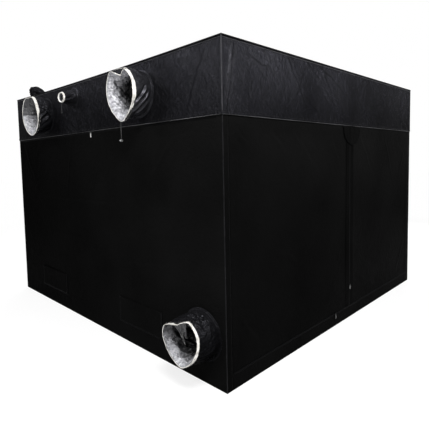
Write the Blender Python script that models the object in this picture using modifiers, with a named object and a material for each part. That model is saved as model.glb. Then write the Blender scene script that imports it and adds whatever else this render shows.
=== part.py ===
"""Indoor grow tent: a square steel frame under laminated cloth, with duct sleeves, vents and a two leaf door.

Metres, +Z up. The origin is on the floor at the middle of the tent. The door wall faces -Y and the
wall with the duct sleeves faces -X.
"""
import bmesh
import bpy
import math
from mathutils import Matrix, Vector

# Overall size
TENT_WIDTH = 2.900
TENT_DEPTH = 2.900
TENT_HEIGHT = 2.000

# Cloth and the gaps that are kept
CLOTH = 0.002
GAP = 0.0003
LAYER_GAP = 0.0005
CUT_OVERRUN = 0.010
WELD = 0.00001
MERGE = 0.00001
SMOOTH_DEG = 35
EDGE_SEGMENTS = 2
CORNER_STEPS = 4
EYE_CORNER_STEPS = 2

# Upper band of the cover, which hangs over the lower walls
SEAM_HEIGHT = 1.575
BAND_OVERLAP = 0.025
HEM_HEIGHT = 0.020
HEM_PROUD = 0.002
TOP_LIP_DROP = 0.025
TOP_LIP_LEDGE = 0.004

# Door
KICK_HEIGHT = 0.095
BOTTOM_LIP_RISE = 0.025
DOOR_MARGIN = 0.050
ZIP_X = 0.076
ZIP_WIDTH = 0.012
ZIP_PROUD = 0.001
FACING_WIDTH = 0.058
FACING_PROUD = 0.0015
TAB_X = 0.105
TAB_RADIUS = 0.145
TAB_STRAIGHT = 0.006
TAB_OVER_SEAM = 0.003
TAB_STEPS = 20

# Zip sliders and their pulls
SLIDER_LENGTH = 0.015
SLIDER_WIDTH = 0.010
SLIDER_THICK = 0.003
SLIDER_EDGE = 0.0007
BRIDGE_WIRE = 0.0008
BRIDGE_RISE = 0.0040
BRIDGE_SPAN = 0.0062
PULL_LENGTH = 0.038
PULL_WIDTH = 0.012
PULL_THICK = 0.0014
PULL_BAR = 0.0020
PULL_EYE_WIDTH = 0.0060
PULL_EYE_LENGTH = 0.0080
PULL_CORNER = 0.0030
PULL_EYE_CORNER = 0.0010
BRIDGE_CORNER = 0.0016
DOOR_SLIDER_Z = 0.274
BOTTOM_SLIDER_X = -0.168
SIDE_SLIDER_Y = -0.046
SIDE_SLIDER_DROP = 0.0093

# Steel frame
TUBE_RADIUS = 0.0125
TUBE_WALL = 0.0012
JOINT_GROOVE_DEPTH = 0.0006
JOINT_GROOVE_WIDTH = 0.003
HUB_HALF = 0.0165
HUB_EDGE = 0.004
SOCKET_RADIUS = 0.0160
SOCKET_PLAY = 0.0008
SOCKET_LENGTH = 0.075
SOCKET_STOP = 0.018
ROUND_SIDES = 16

# Hanging bars on the top rails
BAR_SPACING = 0.600
BAR_COUNT = 3
BAR_RADIUS = 0.0095
BAR_WALL = 0.0010
SADDLE_PLAY = 0.0007
SADDLE_THICK = 0.0025
SADDLE_WIDTH = 0.040
SADDLE_LOW_DEG = -40
SADDLE_HIGH_DEG = 180
SADDLE_STEPS = 14
BAR_BITE = 0.0012

# Floor tray
TRAY_SIDE_PLAY = 0.015
TRAY_LIP = 0.060

# Vents low on the sleeve wall
VENT_WIDTH = 0.440
VENT_HEIGHT = 0.130
VENT_Z = 0.228
VENT_YS = (-0.620, 0.750)
FLAP_MARGIN = 0.030
NET_MARGIN = 0.015
NET_THICK = 0.0015
NET_STRAND = 0.006
NET_COLUMNS = 11
NET_ROWS = 4

# Duct sleeves: place of the base, its radius, the length, and the mouth's radius at angles from its top
SLEEVE_COLUMNS = 32
SLEEVE_ROWS = 9
FLANGE_WIDTH = 0.014
FLANGE_RISE = 0.003
UPPER_FRONT_RISE = 0.205
UPPER_BACK_RISE = 0.201
CABLE_RISE = 0.291
SLEEVES = {
    "duct_sleeve_upper_front": {
        "y": -0.700, "z": SEAM_HEIGHT + UPPER_FRONT_RISE, "base": 0.146, "length": 0.150,
        "fold": 0.009, "lobes": 7, "phase_deg": 20, "droop": 0.010,
        "mouth_deg": (12, 47, 69, 92, 123, 155, 185, 209, 249, 282, 319, 345),
        "mouth_radii": (0.167, 0.185, 0.169, 0.154, 0.143, 0.147, 0.183, 0.173, 0.172, 0.181, 0.165, 0.156),
    },
    "duct_sleeve_upper_back": {
        "y": 0.750, "z": SEAM_HEIGHT + UPPER_BACK_RISE, "base": 0.146, "length": 0.150,
        "fold": 0.010, "lobes": 6, "phase_deg": 75, "droop": 0.010,
        "mouth_deg": (22, 62, 89, 123, 157, 189, 217, 249, 272, 322, 346),
        "mouth_radii": (0.180, 0.199, 0.182, 0.162, 0.163, 0.179, 0.180, 0.175, 0.178, 0.190, 0.171),
    },
    "duct_sleeve_lower_front": {
        "y": -1.252, "z": 0.290, "base": 0.148, "length": 0.175,
        "fold": 0.006, "lobes": 8, "phase_deg": 40, "droop": 0.006,
        "mouth_deg": (34, 50, 64, 81, 103, 129, 157, 179, 216, 253, 281, 312, 329, 349),
        "mouth_radii": (
            0.130, 0.147, 0.165, 0.162, 0.143, 0.130, 0.127, 0.135, 0.121, 0.137, 0.165, 0.192, 0.188, 0.129
        ),
    },
}
CABLE_SLEEVE = {
    "y": 0.205, "z": SEAM_HEIGHT + CABLE_RISE, "base": 0.074, "length": 0.120,
    "fold": 0.004, "lobes": 5, "phase_deg": 10, "droop": 0.004,
    "mouth_deg": (60, 97, 154, 222, 250, 276, 307, 350),
    "mouth_radii": (0.062, 0.058, 0.041, 0.063, 0.085, 0.077, 0.057, 0.046),
}
CABLE_SLEEVE_COLUMNS = 20
CABLE_SLEEVE_ROWS = 6
FOLD_START_SHARE = 0.12
FOLD_SWELL_RATE = 1.15

# Roof sleeve, drawn closed and fallen to one side
ROOF_SLEEVE_X = -1.300
ROOF_SLEEVE_Y = 1.280
ROOF_SLEEVE_RADIUS = 0.090
ROOF_SLEEVE_MOUTH = 0.012
ROOF_SLEEVE_BEND = 0.112
ROOF_SLEEVE_BEND_DEG = 92
ROOF_SLEEVE_RISE = 0.010
ROOF_SLEEVE_FOLD = 0.005
ROOF_SLEEVE_LOBES = 7
ROOF_SLEEVE_COLUMNS = 28
ROOF_SLEEVE_ROWS = 9

# Draw cords and the cord lock
CORD_RADIUS = 0.002
CORD_POINT_STEP = 0.005
CORD_EXIT = 0.0005
FRONT_TAIL_LENGTH = 0.132
LOCK_UP_FROM_END = 0.010
LOCK_RADIUS = 0.008
LOCK_LENGTH = 0.020
LOCK_EDGE = 0.0015
LOCK_BORE_PLAY = 0.0006
PLUNGER_RADIUS = 0.0052
PLUNGER_PLAY = 0.0004
PLUNGER_OUT = 0.006
PLUNGER_IN = 0.006
PLUNGER_TRAVEL = 0.0025
CABLE_TAIL_LENGTH = 0.075
KNOT_GROWTH = 2.2
KNOT_LENGTH = 0.008

HALF_WIDTH = TENT_WIDTH / 2
HALF_DEPTH = TENT_DEPTH / 2
WALL_INSET = CLOTH + LAYER_GAP
LIP_INSET = WALL_INSET + CLOTH + LAYER_GAP
FRAME_INSET = LIP_INSET + CLOTH + LAYER_GAP + HUB_HALF
WALL_X = HALF_WIDTH - WALL_INSET
WALL_Y = HALF_DEPTH - WALL_INSET
FRAME_X = HALF_WIDTH - FRAME_INSET
FRAME_Y = HALF_DEPTH - FRAME_INSET
FRAME_LOW = CLOTH + LAYER_GAP + HUB_HALF
FRAME_HIGH = TENT_HEIGHT - CLOTH - LAYER_GAP - HUB_HALF
WALL_FOOT = CLOTH + GAP
BAND_TOP = TENT_HEIGHT - CLOTH - GAP
WALL_TOP = SEAM_HEIGHT + BAND_OVERLAP
DOOR_EDGE = HALF_WIDTH - DOOR_MARGIN
DOOR_FOOT = KICK_HEIGHT + ZIP_WIDTH / 2 + GAP
DOOR_TOP = SEAM_HEIGHT - GAP
TUBE_BORE = TUBE_RADIUS - TUBE_WALL

CLOTH_LOOK = ("black_cloth", (0.020, 0.021, 0.024), 0.55, 0.0)
STEEL_LOOK = ("white_coated_steel", (0.72, 0.72, 0.70), 0.35, 0.0)
PLASTIC_LOOK = ("black_plastic", (0.025, 0.025, 0.027), 0.45, 0.0)
METAL_LOOK = ("bright_metal", (0.80, 0.80, 0.78), 0.25, 1.0)
TRAY_LOOK = ("tray_cloth", (0.030, 0.031, 0.033), 0.50, 0.0)

AXES = {"x": Vector((1, 0, 0)), "y": Vector((0, 1, 0)), "z": Vector((0, 0, 1))}
# Local x and y of a flat outline, for each axis that it is extruded along
OUTLINE_TURN = {
    "x": Matrix(((0, 0, 1), (1, 0, 0), (0, 1, 0))),
    "y": Matrix(((0, 1, 0), (0, 0, 1), (1, 0, 0))),
    "z": Matrix.Identity(3),
}


def clear_scene():
    for obj in list(bpy.data.objects):
        bpy.data.objects.remove(obj, do_unlink=True)


def new_collection(name):
    collection = bpy.data.collections.new(name)
    bpy.context.scene.collection.children.link(collection)
    return collection


def look(name, colour, roughness, metallic):
    material = bpy.data.materials.get(name)
    if material is None:
        material = bpy.data.materials.new(name)
        material.use_nodes = True
        shader = material.node_tree.nodes["Principled BSDF"]
        shader.inputs["Base Color"].default_value = (*colour, 1.0)
        shader.inputs["Roughness"].default_value = roughness
        shader.inputs["Metallic"].default_value = metallic
        material.diffuse_color = (*colour, 1.0)
    return material


def add_object(name, data, finish, turn=None, at=None):
    obj = bpy.data.objects.new(name, data)
    if turn is not None:
        obj.rotation_euler = turn.to_euler()
    if at is not None:
        obj.location = at
    if finish is not None:
        data.materials.append(look(*finish))
    part_collection.objects.link(obj)
    return obj


def mesh_of(obj):
    """The evaluated mesh of an object, with doubled points welded."""
    bpy.context.view_layer.update()
    graph = bpy.context.evaluated_depsgraph_get()
    mesh = bpy.data.meshes.new_from_object(obj.evaluated_get(graph))
    shape = bmesh.new()
    shape.from_mesh(mesh)
    bmesh.ops.remove_doubles(shape, verts=shape.verts, dist=WELD)
    shape.to_mesh(mesh)
    shape.free()
    return mesh


def as_mesh_object(obj, finish):
    """Replaces a curve, or an object with modifiers, by a plain mesh object in the same place."""
    name = obj.name
    mesh = mesh_of(obj)
    matrix = obj.matrix_world.copy()
    bpy.data.objects.remove(obj, do_unlink=True)
    mesh.materials.clear()
    made = add_object(name, mesh, finish)
    made.matrix_world = matrix
    return made


def smooth(obj):
    obj.data.shade_smooth()
    obj.data.set_sharp_from_angle(angle=math.radians(SMOOTH_DEG))


def add_box(name, low, high, finish, origin=None):
    low = Vector(low)
    high = Vector(high)
    origin = (low + high) / 2 if origin is None else Vector(origin)
    shape = bmesh.new()
    bmesh.ops.create_cube(shape, size=1)
    size = high - low
    bmesh.ops.scale(shape, vec=size, verts=shape.verts)
    bmesh.ops.translate(shape, vec=(low + high) / 2 - origin, verts=shape.verts)
    mesh = bpy.data.meshes.new(name)
    shape.to_mesh(mesh)
    shape.free()
    return add_object(name, mesh, finish, at=origin)


def add_rod(name, radius, start, end, finish, sides=ROUND_SIDES):
    start = Vector(start)
    end = Vector(end)
    shape = bmesh.new()
    bmesh.ops.create_cone(
        shape, cap_ends=True, segments=sides, radius1=radius, radius2=radius, depth=(end - start).length
    )
    mesh = bpy.data.meshes.new(name)
    shape.to_mesh(mesh)
    shape.free()
    turn = (end - start).to_track_quat("Z", "Y").to_matrix()
    return add_object(name, mesh, finish, turn=turn, at=(start + end) / 2)


def add_outline(name, loops, axis, start, end, finish, origin=None):
    """Extrudes flat closed loops, each a list of 2D points, along an axis from start to end."""
    curve = bpy.data.curves.new(name, "CURVE")
    curve.dimensions = "2D"
    curve.fill_mode = "BOTH"
    curve.extrude = (end - start) / 2
    for loop in loops:
        spline = curve.splines.new("POLY")
        spline.points.add(len(loop) - 1)
        for point, place in zip(spline.points, loop):
            point.co = (place[0], place[1], 0, 1)
        spline.use_cyclic_u = True
    turn = OUTLINE_TURN[axis]
    obj = add_object(name, curve, None, turn=turn, at=AXES[axis] * (start + end) / 2)
    obj = as_mesh_object(obj, finish)
    if origin is not None:
        move_origin(obj, origin)
    return obj


def move_origin(obj, origin):
    """Puts the object's origin at a point in the world, with its shape left where it is."""
    bpy.context.view_layer.update()
    obj.data.transform(Matrix.Translation(-Vector(origin)) @ obj.matrix_world)
    obj.matrix_world = Matrix.Translation(Vector(origin))


def combine(base, others, operation, finish):
    """Joins the others to the base, or cuts them out of it, and returns the plain mesh object."""
    for other in others:
        modifier = base.modifiers.new(other.name, "BOOLEAN")
        modifier.operation = operation
        modifier.solver = "EXACT"
        modifier.object = other
    made = as_mesh_object(base, finish)
    for other in others:
        bpy.data.objects.remove(other, do_unlink=True)
    return made


def keep_cutter(obj):
    """Moves a cutter to the cutters' collection, where it is drawn as wire and not rendered."""
    part_collection.objects.unlink(obj)
    cutter_collection.objects.link(obj)
    obj.hide_render = True
    obj.display_type = "WIRE"
    return obj


def cut_with(obj, cutters):
    for cutter in cutters:
        keep_cutter(cutter)
        modifier = obj.modifiers.new(cutter.name, "BOOLEAN")
        modifier.operation = "DIFFERENCE"
        modifier.solver = "EXACT"
        modifier.object = cutter


def parent_to(child, parent):
    bpy.context.view_layer.update()
    child.parent = parent
    child.matrix_parent_inverse = parent.matrix_world.inverted()


def joint_empty(name, at):
    empty = bpy.data.objects.new(name, None)
    empty.location = at
    part_collection.objects.link(empty)
    return empty


def make_tube(name, length, axis, at):
    """A steel tube made of two halves, with a fine groove where they meet."""
    half_groove = JOINT_GROOVE_WIDTH / 2
    groove = TUBE_RADIUS - JOINT_GROOVE_DEPTH
    profile = [
        (TUBE_RADIUS, length / 2), (TUBE_RADIUS, half_groove), (groove, 0), (TUBE_RADIUS, -half_groove),
        (TUBE_RADIUS, -length / 2), (TUBE_BORE, -length / 2), (TUBE_BORE, length / 2),
    ]
    mesh = bpy.data.meshes.new(name)
    count = len(profile)
    edges = [(i, (i + 1) % count) for i in range(count)]
    mesh.from_pydata([(radius, 0, z) for radius, z in profile], edges, [])
    turn = AXES[axis].to_track_quat("Z", "Y").to_matrix()
    tube = add_object(name, mesh, STEEL_LOOK, turn=turn, at=at)
    screw = tube.modifiers.new("Turned", "SCREW")
    screw.steps = ROUND_SIDES
    screw.render_steps = ROUND_SIDES
    screw.use_merge_vertices = True
    screw.merge_threshold = MERGE
    screw.use_smooth_shade = True
    return tube


def make_corner_mesh():
    """One three way corner: sockets along +X, +Y and +Z from the point where the tube axes meet."""
    reach = SOCKET_LENGTH
    hub = HUB_HALF
    body = add_box("corner_hub", (-hub, -hub, -hub), (hub, hub, hub), STEEL_LOOK)
    bevel = body.modifiers.new("Edges", "BEVEL")
    bevel.width = HUB_EDGE
    bevel.segments = 1
    body = as_mesh_object(body, STEEL_LOOK)
    others = [
        add_rod("corner_x", SOCKET_RADIUS, (0, 0, 0), (reach, 0, 0), STEEL_LOOK),
        add_rod("corner_y", SOCKET_RADIUS, (0, 0, 0), (0, reach, 0), STEEL_LOOK),
        add_rod("corner_z", SOCKET_RADIUS, (0, 0, 0), (0, 0, reach), STEEL_LOOK),
    ]
    body = combine(body, others, "UNION", STEEL_LOOK)
    bore = TUBE_RADIUS + SOCKET_PLAY
    far = reach + CUT_OVERRUN
    bores = [
        add_rod("bore_x", bore, (SOCKET_STOP, 0, 0), (far, 0, 0), None),
        add_rod("bore_y", bore, (0, SOCKET_STOP, 0), (0, far, 0), None),
        add_rod("bore_z", bore, (0, 0, SOCKET_STOP), (0, 0, far), None),
    ]
    body = combine(body, bores, "DIFFERENCE", STEEL_LOOK)
    smooth(body)
    mesh = body.data.copy()
    mesh.transform(body.matrix_world)
    bpy.data.objects.remove(body, do_unlink=True)
    mesh.name = "three_way_corner"
    return mesh


def make_frame():
    tube_inset = SOCKET_STOP + GAP
    for side_x, x_word in ((-1, "left"), (1, "right")):
        for side_y, y_word in ((-1, "front"), (1, "back")):
            length = FRAME_HIGH - FRAME_LOW - 2 * tube_inset
            at = (side_x * FRAME_X, side_y * FRAME_Y, (FRAME_HIGH + FRAME_LOW) / 2)
            make_tube(f"corner_post_{y_word}_{x_word}", length, "z", at)
    for z, level in ((FRAME_LOW, "floor_rail"), (FRAME_HIGH, "top_rail")):
        for side_y, y_word in ((-1, "front"), (1, "back")):
            make_tube(f"{level}_{y_word}", 2 * (FRAME_X - tube_inset), "x", (0, side_y * FRAME_Y, z))
        for side_x, x_word in ((-1, "left"), (1, "right")):
            make_tube(f"{level}_{x_word}", 2 * (FRAME_Y - tube_inset), "y", (side_x * FRAME_X, 0, z))
    mesh = make_corner_mesh()
    for z, side_z, level in ((FRAME_LOW, 1, "floor_corner"), (FRAME_HIGH, -1, "top_corner")):
        for side_x, x_word in ((-1, "left"), (1, "right")):
            for side_y, y_word in ((-1, "front"), (1, "back")):
                at = (side_x * FRAME_X, side_y * FRAME_Y, z)
                corner = add_object(f"{level}_{y_word}_{x_word}", mesh, None, at=at)
                corner.scale = (-side_x, -side_y, side_z)
    mesh.materials.clear()
    mesh.materials.append(look(*STEEL_LOOK))


def arc_points(radius, start_deg, end_deg, steps, centre=(0.0, 0.0)):
    points = []
    for step in range(steps + 1):
        angle = math.radians(start_deg + (end_deg - start_deg) * step / steps)
        points.append((centre[0] + radius * math.cos(angle), centre[1] + radius * math.sin(angle)))
    return points


def make_hanging_bars():
    """Bars from the front rail to the back rail, each with a saddle over the rail at both ends."""
    inner = TUBE_RADIUS + SADDLE_PLAY
    outer = inner + SADDLE_THICK
    for index in range(BAR_COUNT):
        x = (index - (BAR_COUNT - 1) / 2) * BAR_SPACING
        reach = FRAME_Y - outer + BAR_BITE
        bar = add_rod("bar", BAR_RADIUS, (x, -reach, FRAME_HIGH), (x, reach, FRAME_HIGH), STEEL_LOOK)
        bar.name = f"hanging_bar_{index + 1}"
        saddles = []
        for side in (-1, 1):
            outside = arc_points(outer, SADDLE_LOW_DEG, SADDLE_HIGH_DEG, SADDLE_STEPS)
            inside = arc_points(inner, SADDLE_HIGH_DEG, SADDLE_LOW_DEG, SADDLE_STEPS)
            loop = [(side * (FRAME_Y - y), FRAME_HIGH + z) for y, z in outside + inside]
            name = "saddle_low" if side < 0 else "saddle_high"
            saddles.append(
                add_outline(name, [loop], "x", x - SADDLE_WIDTH / 2, x + SADDLE_WIDTH / 2, STEEL_LOOK)
            )
        bar = combine(bar, saddles, "UNION", STEEL_LOOK)
        bore = add_rod(
            "bar_bore", BAR_RADIUS - BAR_WALL, (x, -FRAME_Y, FRAME_HIGH), (x, FRAME_Y, FRAME_HIGH), None
        )
        bar = combine(bar, [bore], "DIFFERENCE", STEEL_LOOK)
        move_origin(bar, (x, 0, FRAME_HIGH))
        smooth(bar)


def make_roof():
    low = (-HALF_WIDTH, -HALF_DEPTH, TENT_HEIGHT - CLOTH)
    roof = add_box("roof_panel", low, (HALF_WIDTH, HALF_DEPTH, TENT_HEIGHT), CLOTH_LOOK)
    x, y = ROOF_SLEEVE_X, ROOF_SLEEVE_Y
    hole = add_rod(
        "roof_sleeve_hole", ROOF_SLEEVE_RADIUS, (x, y, low[2] - CUT_OVERRUN),
        (x, y, TENT_HEIGHT + CUT_OVERRUN), None, sides=ROOF_SLEEVE_COLUMNS,
    )
    cut_with(roof, [hole])


def band_section(face):
    """Cross section of a band: distance out from the tent's middle, and height."""
    return [
        (face - CLOTH, SEAM_HEIGHT), (face + HEM_PROUD, SEAM_HEIGHT),
        (face + HEM_PROUD, SEAM_HEIGHT + HEM_HEIGHT), (face, SEAM_HEIGHT + HEM_HEIGHT + HEM_PROUD),
        (face, BAND_TOP), (face - CLOTH, BAND_TOP),
    ]


def wall_hole(name, spec, face, sides):
    """A round cutter through the sleeve wall, where the sleeve opens."""
    return add_rod(
        name, spec["base"], (-face - CUT_OVERRUN, spec["y"], spec["z"]),
        (-face + CLOTH + CUT_OVERRUN, spec["y"], spec["z"]), None, sides=sides,
    )


def make_bands():
    side_reach = HALF_DEPTH - CLOTH - GAP
    section = [(-out, z) for out, z in band_section(HALF_DEPTH)]
    front = add_outline("hood_band_front", [section], "x", -HALF_WIDTH, HALF_WIDTH, CLOTH_LOOK)
    lip_out = -HALF_DEPTH + CLOTH / 2
    lip_face = -HALF_DEPTH + LIP_INSET
    lip = [
        (lip_out, SEAM_HEIGHT), (lip_face, SEAM_HEIGHT), (lip_face, SEAM_HEIGHT - TOP_LIP_DROP),
        (lip_face + CLOTH, SEAM_HEIGHT - TOP_LIP_DROP), (lip_face + CLOTH, SEAM_HEIGHT + TOP_LIP_LEDGE),
        (lip_out, SEAM_HEIGHT + TOP_LIP_LEDGE),
    ]
    lip_reach = WALL_X - CLOTH - LAYER_GAP
    lip_part = add_outline("lip", [lip], "x", -lip_reach, lip_reach, CLOTH_LOOK)
    combine(front, [lip_part], "UNION", CLOTH_LOOK)
    section = [(out, z) for out, z in band_section(HALF_DEPTH)]
    add_outline("hood_band_back", [section], "x", -HALF_WIDTH, HALF_WIDTH, CLOTH_LOOK)
    for side, word in ((-1, "left"), (1, "right")):
        section = [(z, side * out) for out, z in band_section(HALF_WIDTH)]
        band = add_outline(f"hood_band_{word}", [section], "y", -side_reach, side_reach, CLOTH_LOOK)
        if side < 0:
            cutters = [
                wall_hole(f"{name}_hole", SLEEVES[name], HALF_WIDTH, SLEEVE_COLUMNS)
                for name in ("duct_sleeve_upper_front", "duct_sleeve_upper_back")
            ]
            cutters.append(wall_hole("cable_sleeve_hole", CABLE_SLEEVE, HALF_WIDTH, CABLE_SLEEVE_COLUMNS))
            cut_with(band, cutters)


def make_walls():
    low_wall = WALL_X - CLOTH
    back_reach = low_wall - GAP
    for side, word in ((-1, "left"), (1, "right")):
        near = min(side * low_wall, side * WALL_X)
        far = max(side * low_wall, side * WALL_X)
        wall = add_box(f"wall_{word}", (near, -WALL_Y, WALL_FOOT), (far, WALL_Y, WALL_TOP), CLOTH_LOOK)
        if side < 0:
            cutters = [
                wall_hole("lower_sleeve_hole", SLEEVES["duct_sleeve_lower_front"], WALL_X, SLEEVE_COLUMNS)
            ]
            for index, y in enumerate(VENT_YS):
                half = VENT_WIDTH / 2
                cutters.append(
                    add_box(
                        f"vent_hole_{index + 1}",
                        (near - CUT_OVERRUN, y - half, VENT_Z - VENT_HEIGHT / 2),
                        (far + CUT_OVERRUN, y + half, VENT_Z + VENT_HEIGHT / 2), None,
                    )
                )
            cut_with(wall, cutters)
    low = (-back_reach, WALL_Y - CLOTH, WALL_FOOT)
    add_box("wall_back", low, (back_reach, WALL_Y, WALL_TOP), CLOTH_LOOK)
    for side, word in ((-1, "left"), (1, "right")):
        near = min(side * back_reach, side * DOOR_EDGE)
        far = max(side * back_reach, side * DOOR_EDGE)
        add_box(f"door_strip_{word}", (near, -WALL_Y, WALL_FOOT), (far, CLOTH - WALL_Y, DOOR_TOP), CLOTH_LOOK)
    add_box("cover_floor", (-WALL_X, -WALL_Y, 0), (WALL_X, WALL_Y, CLOTH), CLOTH_LOOK)


def make_sill():
    """The strip under the door, with an inner lip that stands up behind the foot of the leaves."""
    top = KICK_HEIGHT - ZIP_WIDTH / 2 - GAP
    lip_front = -WALL_Y + CLOTH + LAYER_GAP
    lip_back = lip_front + CLOTH
    section = [
        (-WALL_Y, WALL_FOOT), (lip_back, WALL_FOOT), (lip_back, KICK_HEIGHT + BOTTOM_LIP_RISE),
        (lip_front, KICK_HEIGHT + BOTTOM_LIP_RISE), (lip_front, top), (-WALL_Y, top),
    ]
    reach = DOOR_EDGE - GAP
    add_outline("door_sill", [section], "x", -reach, reach, CLOTH_LOOK)
    add_box(
        "bottom_zip_chain", (-reach, -WALL_Y - ZIP_PROUD, top + GAP),
        (reach, CLOTH - WALL_Y, DOOR_FOOT - GAP), PLASTIC_LOOK,
    )


def leaf_section(side, free_edge):
    """Plan of a door leaf: a thin panel with a thicker facing along the zip."""
    outer = -side * (DOOR_EDGE - GAP)
    inner = free_edge
    facing = inner - FACING_WIDTH if side > 0 else inner + FACING_WIDTH
    return [
        (outer, -WALL_Y), (facing, -WALL_Y), (facing, -WALL_Y - FACING_PROUD),
        (inner, -WALL_Y - FACING_PROUD), (inner, CLOTH - WALL_Y), (outer, CLOTH - WALL_Y),
    ]


def make_door():
    zip_half = ZIP_WIDTH / 2
    for side, word in ((1, "left"), (-1, "right")):
        free_edge = ZIP_X - side * (zip_half + GAP)
        origin = (-side * DOOR_EDGE, -WALL_Y, (DOOR_FOOT + DOOR_TOP) / 2)
        section = leaf_section(side, free_edge)
        add_outline(f"door_leaf_{word}", [section], "z", DOOR_FOOT, DOOR_TOP, CLOTH_LOOK, origin)
    leaf = bpy.data.objects["door_leaf_left"]
    chain = add_box(
        "door_zip_chain", (ZIP_X - zip_half, -WALL_Y - ZIP_PROUD, DOOR_FOOT),
        (ZIP_X + zip_half, CLOTH - WALL_Y, DOOR_TOP), PLASTIC_LOOK,
    )
    parent_to(chain, leaf)
    return leaf


def make_zip_tab():
    """Half round tab that hangs from the hem of the band over the top of the zip."""
    top = SEAM_HEIGHT + TAB_OVER_SEAM
    back = -HALF_DEPTH - HEM_PROUD - GAP
    outline = [(TAB_X - TAB_RADIUS, top), (TAB_X + TAB_RADIUS, top)]
    outline += arc_points(TAB_RADIUS, 0, -180, TAB_STEPS, (TAB_X, top - TAB_STRAIGHT))
    loop = [(z, x) for x, z in outline]
    origin = (TAB_X, back - CLOTH, top)
    add_outline("zip_tab", [loop], "y", back - CLOTH, back, CLOTH_LOOK, origin)


def rounded_loop(half_wide, low, high, corner, steps):
    """A rectangle with round corners: across from -half_wide to half_wide, along from low to high."""
    loop = []
    for across, along, start in (
        (half_wide - corner, high - corner, 0), (corner - half_wide, high - corner, 90),
        (corner - half_wide, low + corner, 180), (half_wide - corner, low + corner, 270),
    ):
        loop += arc_points(corner, start, start + 90, steps, (across, along))
    return loop


def make_slider_body(half_x, half_z):
    """A slider's flat body with the wire bridge that carries the pull. Its back lies at y = 0."""
    body = add_box("body", (-half_x, -SLIDER_THICK, -half_z), (half_x, 0, half_z), PLASTIC_LOOK)
    bevel = body.modifiers.new("Edges", "BEVEL")
    bevel.width = SLIDER_EDGE
    bevel.segments = EDGE_SEGMENTS
    body = as_mesh_object(body, PLASTIC_LOOK)
    curve = bpy.data.curves.new("bridge", "CURVE")
    curve.dimensions = "3D"
    curve.bevel_depth = BRIDGE_WIRE
    curve.bevel_resolution = 1
    curve.use_fill_caps = True
    reach = SLIDER_THICK + BRIDGE_RISE
    half = BRIDGE_SPAN / 2
    corner = BRIDGE_CORNER
    route = [
        (0, -SLIDER_THICK / 2, half), (0, corner - reach, half), (0, -reach, half - corner),
        (0, -reach, corner - half), (0, corner - reach, -half), (0, -SLIDER_THICK / 2, -half),
    ]
    spline = curve.splines.new("POLY")
    spline.points.add(len(route) - 1)
    for point, place in zip(spline.points, route):
        point.co = (*place, 1)
    bridge = as_mesh_object(add_object("bridge", curve, None), PLASTIC_LOOK)
    return combine(body, [bridge], "UNION", PLASTIC_LOOK)


def make_pull_plate(bar_y):
    """A flat pull with a round cornered eye. Its top bar runs along X at z = 0."""
    bar = PULL_BAR / 2
    outer = rounded_loop(PULL_WIDTH / 2, bar - PULL_LENGTH, bar, PULL_CORNER, CORNER_STEPS)
    eye = rounded_loop(PULL_EYE_WIDTH / 2, -bar - PULL_EYE_LENGTH, -bar, PULL_EYE_CORNER, EYE_CORNER_STEPS)
    # An outline extruded along Y is drawn in z and x
    loops = [[(z, x) for x, z in loop] for loop in (outer, eye)]
    return add_outline("pull", loops, "y", bar_y - PULL_THICK / 2, bar_y + PULL_THICK / 2, METAL_LOOK)


def make_slider(name, face, along_zip):
    """A zip slider and the pull under its bridge, made at the origin and put in place by face."""
    if along_zip == "z":
        body = make_slider_body(SLIDER_WIDTH / 2, SLIDER_LENGTH / 2)
    else:
        body = make_slider_body(SLIDER_LENGTH / 2, SLIDER_WIDTH / 2)
    body.name = f"{name}_slider"
    bar_y = -SLIDER_THICK - (BRIDGE_RISE - BRIDGE_WIRE) / 2
    pull = make_pull_plate(bar_y)
    pull.name = f"{name}_pull"
    bpy.context.view_layer.update()
    pull_origin = face @ Vector((0, bar_y, 0))
    for obj in (body, pull):
        obj.matrix_world = face @ obj.matrix_world
    bpy.context.view_layer.update()
    move_origin(body, face @ Vector((0, 0, 0)))
    move_origin(pull, pull_origin)
    smooth(body)
    parent_to(pull, body)
    return body


def make_zips(leaf):
    chain_face = -WALL_Y - ZIP_PROUD - GAP
    slide = joint_empty("door_zip_run", (ZIP_X, chain_face, DOOR_SLIDER_Z))
    body = make_slider("door_zip", Matrix.Translation((ZIP_X, chain_face, DOOR_SLIDER_Z)), "z")
    parent_to(body, slide)
    parent_to(slide, leaf)
    make_slider("bottom_zip", Matrix.Translation((BOTTOM_SLIDER_X, chain_face, KICK_HEIGHT)), "x")
    side_at = (-WALL_X - GAP, SIDE_SLIDER_Y, SEAM_HEIGHT - SIDE_SLIDER_DROP)
    quarter_turn = Matrix.Rotation(-math.pi / 2, 4, "Z")
    make_slider("side_zip", Matrix.Translation(side_at) @ quarter_turn, "x")


def make_tray():
    half_x = FRAME_X - TUBE_RADIUS - TRAY_SIDE_PLAY
    half_y = FRAME_Y - TUBE_RADIUS - TRAY_SIDE_PLAY
    low = CLOTH + GAP
    tray = add_box("spill_tray", (-half_x, -half_y, low), (half_x, half_y, low + TRAY_LIP), TRAY_LOOK)
    inside = add_box(
        "tray_hollow", (CLOTH - half_x, CLOTH - half_y, low + CLOTH),
        (half_x - CLOTH, half_y - CLOTH, low + TRAY_LIP + CUT_OVERRUN), None,
    )
    cut_with(tray, [inside])


def make_vents():
    face = -WALL_X
    for index, y in enumerate(VENT_YS):
        word = ("front", "back")[index]
        half_y = VENT_WIDTH / 2 + FLAP_MARGIN
        half_z = VENT_HEIGHT / 2 + FLAP_MARGIN
        low = (face - GAP - CLOTH, y - half_y, VENT_Z - half_z)
        high = (face - GAP, y + half_y, VENT_Z + half_z)
        add_box(f"vent_flap_{word}", low, high, CLOTH_LOOK, origin=(low[0], y, high[2]))
        make_net(f"vent_net_{word}", y)


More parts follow.
